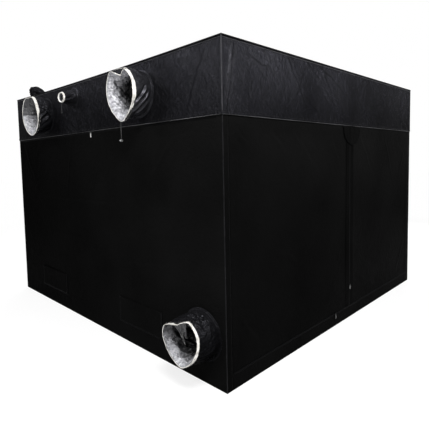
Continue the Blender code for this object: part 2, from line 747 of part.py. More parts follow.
def make_net(name, y):
    """A coarse net behind a vent: a plate with rows of square openings."""
    near = -WALL_X + CLOTH + GAP
    half_y = VENT_WIDTH / 2 + NET_MARGIN
    half_z = VENT_HEIGHT / 2 + NET_MARGIN
    outer = [(y - half_y, VENT_Z - half_z), (y + half_y, VENT_Z - half_z),
             (y + half_y, VENT_Z + half_z), (y - half_y, VENT_Z + half_z)]
    loops = [outer]
    pitch_y = (VENT_WIDTH + NET_STRAND) / NET_COLUMNS
    pitch_z = (VENT_HEIGHT + NET_STRAND) / NET_ROWS
    for column in range(NET_COLUMNS):
        for row in range(NET_ROWS):
            low_y = y - VENT_WIDTH / 2 + column * pitch_y
            low_z = VENT_Z - VENT_HEIGHT / 2 + row * pitch_z
            high_y = low_y + pitch_y - NET_STRAND
            high_z = low_z + pitch_z - NET_STRAND
            loops.append([(low_y, low_z), (high_y, low_z), (high_y, high_z), (low_y, high_z)])
    add_outline(name, loops, "x", near, near + NET_THICK, PLASTIC_LOOK)


def surface_from_rings(name, rings):
    """A cloth tube from rings of points, thickened outwards by the cloth's thickness."""
    shape = bmesh.new()
    rows = [[shape.verts.new(point) for point in ring] for ring in rings]
    for row, following in zip(rows, rows[1:]):
        for index in range(len(row)):
            after = (index + 1) % len(row)
            shape.faces.new((row[index], row[after], following[after], following[index]))
    mesh = bpy.data.meshes.new(name)
    shape.to_mesh(mesh)
    shape.free()
    obj = add_object(name, mesh, CLOTH_LOOK)
    smooth(obj)
    solidify = obj.modifiers.new("Cloth", "SOLIDIFY")
    solidify.thickness = CLOTH
    solidify.offset = 1
    return obj


def fold_depth(spec, angle, share):
    """How far a fold moves the cloth in or out, at an angle round the sleeve and a share of its length."""
    reach = max(share - FOLD_START_SHARE, 0) / (1 - FOLD_START_SHARE)
    swell = math.sin(math.pi * min(reach * FOLD_SWELL_RATE, 1))
    wave = math.cos(spec["lobes"] * angle + math.radians(spec["phase_deg"]) + share * math.pi / 2)
    slower = math.cos(2 * angle - math.radians(spec["phase_deg"]))
    return spec["fold"] * swell * (wave + slower / 2)


def angles_round(columns):
    return [2 * math.pi * column / columns for column in range(columns)]


def mouth_radius(spec, angle):
    """The mouth's radius at an angle from its top, between the two measured radii beside it."""
    turn = math.degrees(angle) % 360
    places = list(zip(spec["mouth_deg"], spec["mouth_radii"]))
    after = min(places, key=lambda place: (place[0] - turn) % 360)
    before = min(places, key=lambda place: (turn - place[0]) % 360)
    from_before = (turn - before[0]) % 360
    to_after = (after[0] - turn) % 360
    if from_before + to_after == 0:
        return before[1]
    return before[1] + (after[1] - before[1]) * from_before / (from_before + to_after)


def sleeve_radius(spec, angle, share):
    """A sleeve's radius at an angle from its top and a share of its length, folds included."""
    radius = spec["base"] + (mouth_radius(spec, angle) - spec["base"]) * share
    return radius + fold_depth(spec, angle, share)


def sleeve_rings(spec, columns, rows):
    """Rings from the flange on the wall to the mouth: radius, distance out of the wall, and angle."""
    angles = angles_round(columns)
    rings = [
        [(spec["base"] + FLANGE_WIDTH, 0, angle) for angle in angles],
        [(spec["base"], FLANGE_RISE, angle) for angle in angles],
    ]
    for row in range(1, rows):
        share = row / (rows - 1)
        out = FLANGE_RISE + (spec["length"] - FLANGE_RISE) * share
        rings.append([(sleeve_radius(spec, angle, share), out, angle) for angle in angles])
    return rings


def make_wall_sleeve(name, spec, face, columns, rows):
    """A duct sleeve on the -X side. Angles run round it from the top, and its droop lowers the mouth."""
    rings = []
    for ring in sleeve_rings(spec, columns, rows):
        points = []
        for radius, out, angle in ring:
            drop = spec["droop"] * (out / spec["length"]) ** 2
            points.append((
                -face - GAP - out, spec["y"] + radius * math.sin(angle),
                spec["z"] + radius * math.cos(angle) - drop,
            ))
        rings.append(points)
    return surface_from_rings(name, rings)


def roof_sleeve_ring(share, angles):
    """One ring of the roof sleeve, whose middle line bends over towards -X as it narrows."""
    bend = math.radians(ROOF_SLEEVE_BEND_DEG) * share
    narrow = ROOF_SLEEVE_MOUTH + (ROOF_SLEEVE_RADIUS - ROOF_SLEEVE_MOUTH) * math.cos(share * math.pi / 2)
    middle_x = ROOF_SLEEVE_X - ROOF_SLEEVE_BEND * (1 - math.cos(bend))
    middle_z = TENT_HEIGHT + GAP + ROOF_SLEEVE_RISE + ROOF_SLEEVE_BEND * math.sin(bend)
    fold = ROOF_SLEEVE_FOLD * math.sin(math.pi * share) * narrow / ROOF_SLEEVE_RADIUS
    ring = []
    for angle in angles:
        radius = narrow + fold * math.cos(ROOF_SLEEVE_LOBES * angle)
        across = radius * math.cos(angle)
        ring.append((
            middle_x + across * math.cos(bend), ROOF_SLEEVE_Y + radius * math.sin(angle),
            middle_z + across * math.sin(bend),
        ))
    return ring


def make_roof_sleeve():
    """The sleeve on the roof, drawn to a tied mouth and fallen to one side."""
    base_z = TENT_HEIGHT + GAP
    angles = angles_round(ROOF_SLEEVE_COLUMNS)
    rings = []
    for radius, z in (
        (ROOF_SLEEVE_RADIUS + FLANGE_WIDTH, base_z), (ROOF_SLEEVE_RADIUS, base_z + FLANGE_RISE)
    ):
        rings.append([
            (ROOF_SLEEVE_X + radius * math.cos(angle), ROOF_SLEEVE_Y + radius * math.sin(angle), z)
            for angle in angles
        ])
    for row in range(ROOF_SLEEVE_ROWS):
        rings.append(roof_sleeve_ring(row / (ROOF_SLEEVE_ROWS - 1), angles))
    return surface_from_rings("roof_sleeve", rings)


def make_sleeves():
    for name, spec in SLEEVES.items():
        face = WALL_X if "lower" in name else HALF_WIDTH
        make_wall_sleeve(name, spec, face, SLEEVE_COLUMNS, SLEEVE_ROWS)
    make_wall_sleeve("cable_sleeve", CABLE_SLEEVE, HALF_WIDTH, CABLE_SLEEVE_COLUMNS, CABLE_SLEEVE_ROWS)
    make_roof_sleeve()


def mouth_bottom(spec, columns):
    """The lowest corner of a sleeve's mouth, on the outside of its cloth."""
    angle = min(angles_round(columns), key=lambda turn: sleeve_radius(spec, turn, 1) * math.cos(turn))
    radius = sleeve_radius(spec, angle, 1)
    y = spec["y"] + radius * math.sin(angle)
    z = spec["z"] + radius * math.cos(angle) - spec["droop"] - CLOTH
    return Vector((-HALF_WIDTH - GAP - spec["length"], y, z))


def make_tail(name, top, length, knot):
    """A cord that hangs straight down from a hem. A knot swells its last stretch."""
    steps = math.ceil(length / CORD_POINT_STEP)
    curve = bpy.data.curves.new(name, "CURVE")
    curve.dimensions = "3D"
    curve.bevel_depth = CORD_RADIUS
    curve.bevel_resolution = 2
    curve.use_fill_caps = True
    spline = curve.splines.new("POLY")
    spline.points.add(steps)
    for index, point in enumerate(spline.points):
        along = length * index / steps
        point.co = (top.x, top.y, top.z - along, 1)
        if knot:
            from_knot = abs(length - KNOT_LENGTH - along)
            point.radius = 1 + (KNOT_GROWTH - 1) * max(1 - from_knot / KNOT_LENGTH, 0)
    return as_mesh_object(add_object(name, curve, None), PLASTIC_LOOK)


def make_cord_lock(at):
    """A barrel across the cord, along Y, with the cord's bore near one end and a plunger in the other."""
    half = LOCK_LENGTH / 2
    start = (at.x, at.y - half, at.z)
    end = (at.x, at.y + half, at.z)
    barrel = add_rod("cord_lock_body", LOCK_RADIUS, start, end, METAL_LOOK)
    bevel = barrel.modifiers.new("Edges", "BEVEL")
    bevel.width = LOCK_EDGE
    bevel.segments = EDGE_SEGMENTS
    bevel.limit_method = "ANGLE"
    barrel = as_mesh_object(barrel, METAL_LOOK)
    bore = CORD_RADIUS + LOCK_BORE_PLAY
    reach = LOCK_RADIUS + CUT_OVERRUN
    mouth_y = at.y + half
    bores = [
        add_rod("cord_bore", bore, (at.x, at.y, at.z - reach), (at.x, at.y, at.z + reach), None),
        add_rod(
            "plunger_bore", PLUNGER_RADIUS + PLUNGER_PLAY,
            (at.x, mouth_y - PLUNGER_IN - PLUNGER_PLAY, at.z), (at.x, mouth_y + CUT_OVERRUN, at.z), None,
        ),
    ]
    barrel = combine(barrel, bores, "DIFFERENCE", METAL_LOOK)
    move_origin(barrel, at)
    smooth(barrel)
    low = mouth_y - PLUNGER_IN + PLUNGER_TRAVEL
    high = mouth_y + PLUNGER_OUT
    plunger = add_rod("cord_lock_plunger", PLUNGER_RADIUS, (at.x, low, at.z), (at.x, high, at.z), METAL_LOOK)
    move_origin(plunger, (at.x, mouth_y, at.z))
    smooth(plunger)
    parent_to(plunger, barrel)


def make_cords():
    top = mouth_bottom(SLEEVES["duct_sleeve_upper_front"], SLEEVE_COLUMNS)
    top.z -= CORD_EXIT
    make_tail("draw_cord_front", top, FRONT_TAIL_LENGTH, knot=False)
    lock_at = top - Vector((0, 0, FRONT_TAIL_LENGTH - LOCK_UP_FROM_END))
    make_cord_lock(lock_at)
    top = mouth_bottom(CABLE_SLEEVE, CABLE_SLEEVE_COLUMNS)
    top.z -= CORD_EXIT
    make_tail("draw_cord_cable_sleeve", top, CABLE_TAIL_LENGTH, knot=True)


clear_scene()
part_collection = new_collection("indoor_grow_tent")
cutter_collection = new_collection("cutters")
make_frame()
make_hanging_bars()
make_roof()
make_bands()
make_walls()
make_sill()
door_leaf = make_door()
make_zip_tab()
make_zips(door_leaf)
make_tray()
make_vents()
make_sleeves()
make_cords()
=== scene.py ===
import bpy
import math
import numpy as np
from mathutils import Matrix, Vector


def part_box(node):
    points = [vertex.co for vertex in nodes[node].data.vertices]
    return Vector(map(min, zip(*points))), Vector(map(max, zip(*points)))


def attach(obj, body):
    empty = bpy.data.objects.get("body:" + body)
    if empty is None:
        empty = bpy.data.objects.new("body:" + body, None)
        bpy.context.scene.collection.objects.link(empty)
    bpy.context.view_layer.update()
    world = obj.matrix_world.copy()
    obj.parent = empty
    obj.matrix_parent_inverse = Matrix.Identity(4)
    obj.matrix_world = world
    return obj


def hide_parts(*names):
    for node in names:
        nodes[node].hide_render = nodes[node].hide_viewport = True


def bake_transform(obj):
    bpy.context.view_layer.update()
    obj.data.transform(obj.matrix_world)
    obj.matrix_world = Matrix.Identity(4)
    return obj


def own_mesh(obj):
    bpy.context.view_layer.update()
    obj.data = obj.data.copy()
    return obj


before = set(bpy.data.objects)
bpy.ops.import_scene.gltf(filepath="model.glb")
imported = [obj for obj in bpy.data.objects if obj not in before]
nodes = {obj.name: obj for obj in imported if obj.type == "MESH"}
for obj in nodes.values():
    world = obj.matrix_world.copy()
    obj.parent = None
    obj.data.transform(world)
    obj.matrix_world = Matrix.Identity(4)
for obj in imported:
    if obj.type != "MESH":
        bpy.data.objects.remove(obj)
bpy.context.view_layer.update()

mainBody = "cover_and_frame"
scene = bpy.context.scene

# the tent's own planes, read from the frame so that the cloth goes where the solids are
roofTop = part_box("roof_panel")[1].z
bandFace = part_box("roof_panel")[1].x
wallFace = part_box("wall_right")[1].x
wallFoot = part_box("wall_right")[0].z
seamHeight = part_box("hood_band_right")[0].z
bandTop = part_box("hood_band_right")[1].z
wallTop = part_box("wall_right")[1].z


# camera

cameraPlace = {
    "at": (-3.0648, -2.9146, 1.3308),
    "yawDeg": 44.131,
    "pitchDownDeg": 4.143,
    "rollDeg": -1.324,
    "focalPixels": 399.26,
    "principalPixel": (198.26, 188.95),
    "imagePixels": 430,
    "sensor": 36.0,
}


def makeCamera(place):
    yaw = math.radians(place["yawDeg"])
    pitch = math.radians(place["pitchDownDeg"])
    roll = math.radians(place["rollDeg"])
    forward = Vector((math.sin(yaw) * math.cos(pitch), math.cos(yaw) * math.cos(pitch), -math.sin(pitch)))
    right = forward.cross(Vector((0, 0, 1))).normalized()
    up = right.cross(forward)
    rightRolled = right * math.cos(roll) + up * math.sin(roll)
    upRolled = up * math.cos(roll) - right * math.sin(roll)
    turn = Matrix((rightRolled, upRolled, -forward)).transposed().to_4x4()
    camera = bpy.data.objects.new("camera", bpy.data.cameras.new("camera"))
    scene.collection.objects.link(camera)
    camera.matrix_world = Matrix.Translation(place["at"]) @ turn
    size = place["imagePixels"]
    camera.data.sensor_width = place["sensor"]
    camera.data.lens = place["focalPixels"] * place["sensor"] / size
    camera.data.shift_x = (size / 2 - place["principalPixel"][0]) / size
    camera.data.shift_y = (place["principalPixel"][1] - size / 2) / size
    camera.data.clip_end = 60
    scene.camera = camera


makeCamera(cameraPlace)


# materials

def newMaterial(name, colour, roughness, metallic=0.0, specular=0.5):
    material = bpy.data.materials.new(name)
    material.use_nodes = True
    shader = material.node_tree.nodes["Principled BSDF"]
    shader.inputs["Base Color"].default_value = (*colour, 1)
    shader.inputs["Roughness"].default_value = roughness
    shader.inputs["Metallic"].default_value = metallic
    shader.inputs["Specular IOR Level"].default_value = specular
    material.diffuse_color = (*colour, 1)
    return material, shader


def addNode(material, kind, **inputs):
    node = material.node_tree.nodes.new(kind)
    for name, value in inputs.items():
        node.inputs[name].default_value = value
    return node


def join(material, outSocket, inSocket):
    material.node_tree.links.new(outSocket, inSocket)


def objectPoints(material, scale=(1, 1, 1), turnDeg=(0, 0, 0)):
    points = addNode(material, "ShaderNodeTexCoord")
    mapping = addNode(material, "ShaderNodeMapping")
    mapping.inputs["Scale"].default_value = scale
    mapping.inputs["Rotation"].default_value = [math.radians(turn) for turn in turnDeg]
    join(material, points.outputs["Object"], mapping.inputs["Vector"])
    return mapping.outputs["Vector"]


def noiseField(material, points, scale, detail=3.0, roughness=0.5, distortion=0.0):
    field = addNode(
        material, "ShaderNodeTexNoise", Scale=scale, Detail=detail, Roughness=roughness, Distortion=distortion
    )
    join(material, points, field.inputs["Vector"])
    return field.outputs["Fac"]


def waveField(material, points, scale, direction):
    field = addNode(material, "ShaderNodeTexWave", Scale=scale)
    field.bands_direction = direction
    join(material, points, field.inputs["Vector"])
    return field.outputs["Fac"]


def spread(material, field, low, high):
    # maps a field of 0 to 1 onto a range of numbers
    ranged = addNode(material, "ShaderNodeMapRange")
    ranged.inputs["To Min"].default_value = low
    ranged.inputs["To Max"].default_value = high
    join(material, field, ranged.inputs["Value"])
    return ranged.outputs["Result"]


def colourBetween(material, field, dark, light, low=0.3, high=0.7):
    ramp = addNode(material, "ShaderNodeValToRGB")
    ramp.color_ramp.elements[0].position = low
    ramp.color_ramp.elements[0].color = (*dark, 1)
    ramp.color_ramp.elements[1].position = high
    ramp.color_ramp.elements[1].color = (*light, 1)
    join(material, field, ramp.inputs["Fac"])
    return ramp.outputs["Color"]


def bumps(material, shader, layers):
    # each layer is a height field, its depth in metres and its strength; they are stacked in order
    previous = None
    for field, depth, strength in layers:
        bump = addNode(material, "ShaderNodeBump", Distance=depth, Strength=strength)
        join(material, field, bump.inputs["Height"])
        if previous is not None:
            join(material, previous, bump.inputs["Normal"])
        previous = bump.outputs["Normal"]
    join(material, previous, shader.inputs["Normal"])


canvasLook = {
    "dark": (0.0016, 0.0016, 0.0016),
    "light": (0.0025, 0.0025, 0.0025),
    "roughness": (0.40, 0.54),
    "specular": 0.0012,
    "gleam": 0.0,
    "patches": 2.3,
    "threads": 700,
    "threadDeep": 0.0002,
    "dimples": 62,
    "dimpleDeep": 0.0032,
    "crumples": 19,
    "crumpleDeep": 0.010,
}


def makeCanvas(name, look, crumple=1.0, paintedLight=()):
    # black laminated oxford cloth: fine weave, dimples a centimetre across, and broader soft crumples
    material, shader = newMaterial(name, look["light"], look["roughness"][0], look["gleam"], look["specular"])
    if look["gleam"]:
        shader.inputs["Specular Tint"].default_value = (*look["light"], 1)
    points = objectPoints(material)
    dimples = noiseField(material, points, look["dimples"], detail=2.5, roughness=0.55, distortion=0.6)
    crumples = noiseField(material, points, look["crumples"], detail=4, roughness=0.6, distortion=1.2)
    patches = noiseField(material, points, look["patches"], detail=3)
    tone = colourBetween(material, patches, look["dark"], look["light"])
    # the tones given paint light and shade on the cloth along the tent's axes
    for change in paintedLight:
        tone = scaleTone(material, tone, *change)
    join(material, tone, shader.inputs["Base Color"])
    join(material, spread(material, crumples, *look["roughness"]), shader.inputs["Roughness"])
    warp = waveField(material, points, look["threads"], "Z")
    weft = waveField(material, objectPoints(material, turnDeg=(0, 0, 45)), look["threads"], "X")
    bumps(material, shader, [
        (crumples, look["crumpleDeep"] * crumple, 0.55), (dimples, look["dimpleDeep"] * crumple, 0.60),
        (warp, look["threadDeep"], 0.16), (weft, look["threadDeep"], 0.16),
    ])
    return material


filmLook = {
    "dark": (0.24, 0.245, 0.255), "light": (0.46, 0.465, 0.48), "roughness": (0.28, 0.44), "metallic": 0.75,
    "folds": 26, "facets": 30, "diamonds": 24, "diamondDeep": 0.0012,
    "wallCrinkle": 0.004, "sleeveCrinkle": 0.016,
}


def makeFilm(name, look, crinkle, diamonds=False, paintedShade=None):
    # silver film: crinkled where it lines a sleeve, pressed with a diamond pattern inside the walls
    material, shader = newMaterial(name, look["light"], look["roughness"][0], look["metallic"])
    points = objectPoints(material)
    folds = noiseField(material, points, look["folds"], detail=5, roughness=0.62, distortion=1.6)
    tone = colourBetween(material, folds, look["dark"], look["light"])
    # painted shade darkens a sleeve's lining deeper in and under its overhang
    if paintedShade:
        tone = paintShadeInwards(material, tone, paintedShade)
    join(material, tone, shader.inputs["Base Color"])
    join(material, spread(material, folds, *look["roughness"]), shader.inputs["Roughness"])
    layers = [(folds, crinkle, 0.7)]
    if diamonds:
        for turn in (45, -45):
            turned = objectPoints(material, turnDeg=(turn, turn, 0))
            layers.append((waveField(material, turned, look["diamonds"], "Z"), look["diamondDeep"], 0.4))
    else:
        facets = addNode(material, "ShaderNodeTexVoronoi", Scale=look["facets"], Randomness=1.0)
        join(material, points, facets.inputs["Vector"])
        layers.append((facets.outputs["Distance"], crinkle * 0.9, 0.8))
    bumps(material, shader, layers)
    return material


def scaleTone(material, tone, axis, low, high, atLow, atHigh):
    # a colour made lighter or darker along one axis of the tent, which paints light or shade on it
    points = addNode(material, "ShaderNodeTexCoord")
    parts = addNode(material, "ShaderNodeSeparateXYZ")
    join(material, points.outputs["Object"], parts.inputs["Vector"])
    share = addNode(material, "ShaderNodeMapRange")
    share.interpolation_type = "SMOOTHSTEP"
    for name, value in (("From Min", low), ("From Max", high), ("To Min", atLow), ("To Max", atHigh)):
        share.inputs[name].default_value = value
    join(material, parts.outputs[axis], share.inputs["Value"])
    scaled = addNode(material, "ShaderNodeVectorMath")
    scaled.operation = "SCALE"
    join(material, tone, scaled.inputs[0])
    join(material, share.outputs["Result"], scaled.inputs["Scale"])
    return scaled.outputs["Vector"]


def paintShadeInwards(material, tone, paintedShade):
    # painted shade: the lining darkens deeper in towards the wall and under its overhang
    start, end = -bandFace - paintedShade["from"], -bandFace - paintedShade["to"]
    tone = scaleTone(material, tone, "X", start, end, 1, paintedShade["left"])
    if paintedShade["overhang"]:
        low, high, left = paintedShade["overhang"]
        tone = scaleTone(material, tone, "Z", low, high, 1, left)
    return tone


webbingLook = {"ribs": 420, "ribDeep": 0.0003, "soil": 34, "soilDeep": 0.0016, "specular": 0.10}


def makeWebbing(name, dark, light, roughness, **change):
    # woven tape, cord sheath or binding: ribs across, with a little soiling
    look = {**webbingLook, **change}
    material, shader = newMaterial(name, light, roughness, specular=look["specular"])
    points = objectPoints(material)
    soil = noiseField(material, points, look["soil"], detail=4)
    join(material, colourBetween(material, soil, dark, light), shader.inputs["Base Color"])
    join(material, spread(material, soil, roughness - 0.08, roughness + 0.1), shader.inputs["Roughness"])
    ribs = waveField(material, points, look["ribs"], "DIAGONAL")
    bumps(material, shader, [(soil, look["soilDeep"], 0.5), (ribs, look["ribDeep"], 0.5)])
    return material


plasticLook = {"grain": 380, "grainDeep": 0.0004, "wear": 55}


def makePlastic(name, dark, light, roughness, specular=0.03):
    # moulded plastic with a fine grain, worn shinier in places
    material, shader = newMaterial(name, light, roughness, specular=specular)
    points = objectPoints(material)
    grain = noiseField(material, points, plasticLook["grain"], detail=3)
    wear = noiseField(material, points, plasticLook["wear"], detail=4)
    join(material, colourBetween(material, wear, dark, light), shader.inputs["Base Color"])
    join(material, spread(material, wear, roughness - 0.1, roughness + 0.12), shader.inputs["Roughness"])
    bumps(material, shader, [(grain, plasticLook["grainDeep"], 0.3)])
    return material


metalLook = {"wear": 120, "scratches": 1400, "scratchDeep": 0.0001}


def makeMetal(name, dark, light, roughness):
    # plated metal with fine scratches along it and duller worn places
    material, shader = newMaterial(name, light, roughness, metallic=1.0)
    points = objectPoints(material)
    wear = noiseField(material, points, metalLook["wear"], detail=4)
    drawn = objectPoints(material, scale=(1, 1, 0.08))
    scratches = noiseField(material, drawn, metalLook["scratches"], detail=2)
    join(material, colourBetween(material, wear, dark, light), shader.inputs["Base Color"])
    join(material, spread(material, wear, roughness - 0.06, roughness + 0.14), shader.inputs["Roughness"])
    bumps(material, shader, [(scratches, metalLook["scratchDeep"], 0.35)])
    return material


coatLook = {"peel": 900, "scuffs": 42, "deep": 0.0003}


def makeCoat(name, dark, light, roughness):
    # powder coated steel: orange peel, slight stains and scuffs
    material, shader = newMaterial(name, light, roughness, specular=0.5)
    points = objectPoints(material)
    peel = noiseField(material, points, coatLook["peel"], detail=1.5)
    drawn = objectPoints(material, scale=(1, 1, 0.2))
    scuffs = noiseField(material, drawn, coatLook["scuffs"], detail=6, roughness=0.7)
    join(material, colourBetween(material, scuffs, dark, light, 0.28, 0.46), shader.inputs["Base Color"])
    join(material, spread(material, scuffs, roughness + 0.14, roughness - 0.05), shader.inputs["Roughness"])
    bumps(material, shader, [(peel, coatLook["deep"], 0.35), (scuffs, coatLook["deep"], 0.2)])
    return material


# painted light and shade over the tent's cloth: axis, from, to, and the share of brightness at either end
paintedLightTones = {
    "side": (("Y", -1.45, 1.45, 1.7, 0.3), ("Z", 1.1, 1.55, 1, 1.15)),  # painted light: paler towards the front corner and towards the band, darker towards the back
    "door": (("Z", 0.8, 1.5, 0.9, 1.45),),  # painted light from above: paler towards the band
    "band": (("Z", seamHeight, roofTop, 1 / 1.40, 1.40),),  # painted light from above: paler towards the roof's edge, darker towards the seam
}
sleeveCloths = {  # painted light: each sleeve's brightness is set to how lit it is, and some are painted paler on their upper side, where light falls from above
    "upper_front": {"bright": 0.038, "crumple": 0.8, "paintedLight": ()},
    "upper_back": {"bright": 0.022, "crumple": 1.4, "paintedLight": (("Z", 1.80, 1.88, 1, 1.8),)},
    "lower_front": {"bright": 0.0095, "crumple": 1.9, "paintedLight": (("Z", 0.33, 0.40, 1, 2.2),)},
    "cable": {"bright": 0.020, "crumple": 1.0, "paintedLight": (("Z", 1.87, 1.90, 1, 2.2),)},
    "roof": {"bright": 0.013, "crumple": 1.8, "paintedLight": ()},
}
liningFilms = {  # painted shade: darker from one depth to another, and between two heights under an overhang; each lining's brightness is set to how lit it is
    "upper_front": {"bright": 0.50, "from": 0.125, "to": 0.020, "overhang": None},
    "upper_back": {"bright": 0.44, "from": 0.150, "to": -0.020, "overhang": (1.774, 1.788, 0.17)},
    "lower_front": {"bright": 0.52, "from": 0.170, "to": 0.070, "overhang": (0.17, 0.36, 0.15)},
    "cable": {"bright": 0.40, "from": 0.110, "to": 0.020, "overhang": None},
}


def makeSleeveCanvas(word, cloth):
    bright = cloth["bright"]
    look = {
        **canvasLook, "dark": (0.35 * bright, 0.35 * bright, 0.40 * bright),
        "light": (bright, bright, 1.13 * bright), "specular": 0.01, "gleam": 0.6, "roughness": (0.22, 0.34),
    }
    return makeCanvas(f"black_sleeve_canvas_{word}", look, cloth["crumple"], cloth["paintedLight"])


def makeSleeveFilm(word, film):
    bright = film["bright"]
    look = {
        **filmLook, "dark": (0.36 * bright, 0.36 * bright, 0.39 * bright),
        "light": (bright, bright, 1.05 * bright), "metallic": 0.55,
    }
    return makeFilm(f"silver_film_{word}", look, look["sleeveCrinkle"], paintedShade={**film, "left": 0.03})


canvas = makeCanvas("black_canvas", canvasLook)
sideCanvas = makeCanvas("black_side_canvas", canvasLook, paintedLight=paintedLightTones["side"])
doorCanvas = makeCanvas("black_door_canvas", canvasLook, paintedLight=paintedLightTones["door"])
# painted light: the band, its hem and the roof take a paler copy of the black cloth, for the light that falls
# on them from above
bandCanvas = makeCanvas("black_band_canvas", {
    **canvasLook, "dark": (0.0108, 0.0108, 0.0123), "light": (0.0182, 0.0182, 0.0206), "specular": 0.006,
    "gleam": 0.7, "roughness": (0.19, 0.30), "crumples": 26,
}, 1.7, paintedLightTones["band"])
facingCanvas = makeCanvas("black_facing_canvas", {
    **canvasLook, "dark": (0.0012, 0.0012, 0.0012), "light": (0.0026, 0.0026, 0.0026), "specular": 0.0004,
    "roughness": (0.58, 0.70),
}, 0.5)
sleeveCanvases = {word: makeSleeveCanvas(word, cloth) for word, cloth in sleeveCloths.items()}
trayCanvas = makeCanvas("black_tray_canvas", {
    **canvasLook, "dark": (0.0090, 0.0090, 0.0095), "light": (0.0160, 0.0160, 0.0170), "specular": 0.1,
})
wallFilm = makeFilm("silver_wall_film", filmLook, filmLook["wallCrinkle"], diamonds=True)
sleeveFilms = {word: makeSleeveFilm(word, film) for word, film in liningFilms.items()}
# painted shade: the hanging fold of the lining is a darkened copy of the silver film
shadedFoldFilm = makeFilm("shaded_silver_fold_film", {
    **filmLook, "dark": (0.012, 0.012, 0.0125), "light": (0.07, 0.07, 0.073), "metallic": 0.55,
}, filmLook["sleeveCrinkle"])
# paler tape: on the band's top seam and corner piping it is a painted highlight; it also binds the tray's rim
edgeTape = makeWebbing("black_edge_tape", (0.0120, 0.0120, 0.0135), (0.0340, 0.0340, 0.0370), 0.46)
roofTape = makeWebbing(
    "black_roof_tape", (0.0016, 0.0016, 0.0018), (0.0034, 0.0034, 0.0037), 0.6, specular=0.01,
)
# painted highlight: the hem's lip is paler, in patches, for the light line it catches
hemLipHighlight = makeWebbing("highlighted_hem_lip", (0.0050, 0.0050, 0.0055), (0.0860, 0.0860, 0.0890), 0.42, soil=2.6)
# painted highlight: the fold's edge is a grey tube standing for its lit crease
litFoldEdgeTape = makeWebbing("lit_fold_edge_tape", (0.08, 0.08, 0.078), (0.24, 0.24, 0.235), 0.55)
cornerTape = makeWebbing(
    "black_corner_tape", (0.0038, 0.0038, 0.0042), (0.0100, 0.0100, 0.0110), 0.5, specular=0.03,
)
# painted shade: extra dark thread draws the shadow lines along the door facing's edges; it also sews the tab
darkThread = makeWebbing(
    "dark_facing_thread", (0.0008, 0.0008, 0.0008), (0.0018, 0.0018, 0.0018), 0.6, ribs=900, specular=0.01,
)
brightTape = makeWebbing("white_mouth_tape", (0.42, 0.405, 0.375), (0.78, 0.765, 0.735), 0.55)
thread = makeWebbing("black_thread", (0.0050, 0.0050, 0.0055), (0.0120, 0.0120, 0.0130), 0.5, ribs=900)
cordSheath = makeWebbing("black_cord_sheath", (0.022, 0.022, 0.022), (0.052, 0.052, 0.052), 0.6, ribs=800)
zipTape = makeWebbing(
    "black_zip_tape", (0.0016, 0.0016, 0.0017), (0.0034, 0.0034, 0.0036), 0.62, ribs=900, specular=0.01,
)
netYarn = makeWebbing("black_net_yarn", (0.0080, 0.0080, 0.0086), (0.0180, 0.0180, 0.0190), 0.6)
zipPlastic = makePlastic("black_zip_plastic", (0.0030, 0.0030, 0.0032), (0.0080, 0.0080, 0.0084), 0.38)
zipCoil = makePlastic("black_zip_coil", (0.0006, 0.0006, 0.0006), (0.0016, 0.0016, 0.0016), 0.5, 0.004)
pullMetal = makeMetal("dark_plated_metal", (0.06, 0.06, 0.06), (0.14, 0.14, 0.14), 0.34)
lockMetal = makeMetal("dull_plated_metal", (0.13, 0.13, 0.13), (0.26, 0.26, 0.26), 0.34)
brightMetal = makeMetal("bright_plated_metal", (0.62, 0.62, 0.60), (0.86, 0.86, 0.84), 0.22)
steelCoat = makeCoat("white_coated_steel", (0.42, 0.41, 0.38), (0.76, 0.76, 0.74), 0.32)
print("materials made")


# numbers that shape cloth

def easeBetween(low, high, value):
    share = np.clip((value - low) / (high - low), 0, 1)
    return share * share * (3 - 2 * share)


def softNoise(u, v, cell, seed):
    # smooth gradient noise of about -0.7 to 0.7, with bumps about a cell across
    size = 64
    turns = np.random.default_rng(seed).uniform(0, 2 * math.pi, (size, size))
    x, y = np.asarray(u, float) / cell, np.asarray(v, float) / cell
    left, low = np.floor(x).astype(int), np.floor(y).astype(int)
    easeX = (x - left) ** 3 * ((x - left) * ((x - left) * 6 - 15) + 10)
    easeY = (y - low) ** 3 * ((y - low) * ((y - low) * 6 - 15) + 10)

    def pull(column, row):
        turn = turns[column % size, row % size]
        return np.cos(turn) * (x - column) + np.sin(turn) * (y - row)

    lower = pull(left, low) * (1 - easeX) + pull(left + 1, low) * easeX
    upper = pull(left, low + 1) * (1 - easeX) + pull(left + 1, low + 1) * easeX
    return lower * (1 - easeY) + upper * easeY


creaseLook = {"sway": 1.5, "swayCell": 0.16, "seed": 7, "valleyDeep": 0.55, "valleyAway": 1.9}


def crease(u, v, start, end, width, height):
    # a ridge from one point to another with a shallow valley beside it, fading out at both ends
    look = creaseLook
    run = np.array(end, float) - np.array(start, float)
    length = math.hypot(*run)
    along = ((u - start[0]) * run[0] + (v - start[1]) * run[1]) / length ** 2
    across = ((v - start[1]) * run[0] - (u - start[0]) * run[1]) / length
    wander = across + softNoise(along * length, u * 0, look["swayCell"], look["seed"]) * width * look["sway"]
    fade = np.sin(math.pi * np.clip(along, 0, 1)) ** 0.7
    ridge = np.exp(-(wander / width) ** 2)
    valley = np.exp(-((wander - look["valleyAway"] * width) / width) ** 2)
    return height * fade * (ridge - look["valleyDeep"] * valley)


def slantedFolds(u, v, slantDeg, longCell, shortCell, seed):
    turn = math.radians(slantDeg)
    along = u * math.cos(turn) + v * math.sin(turn)
    across = v * math.cos(turn) - u * math.sin(turn)
    return softNoise(along / longCell, across / shortCell, 1, seed)


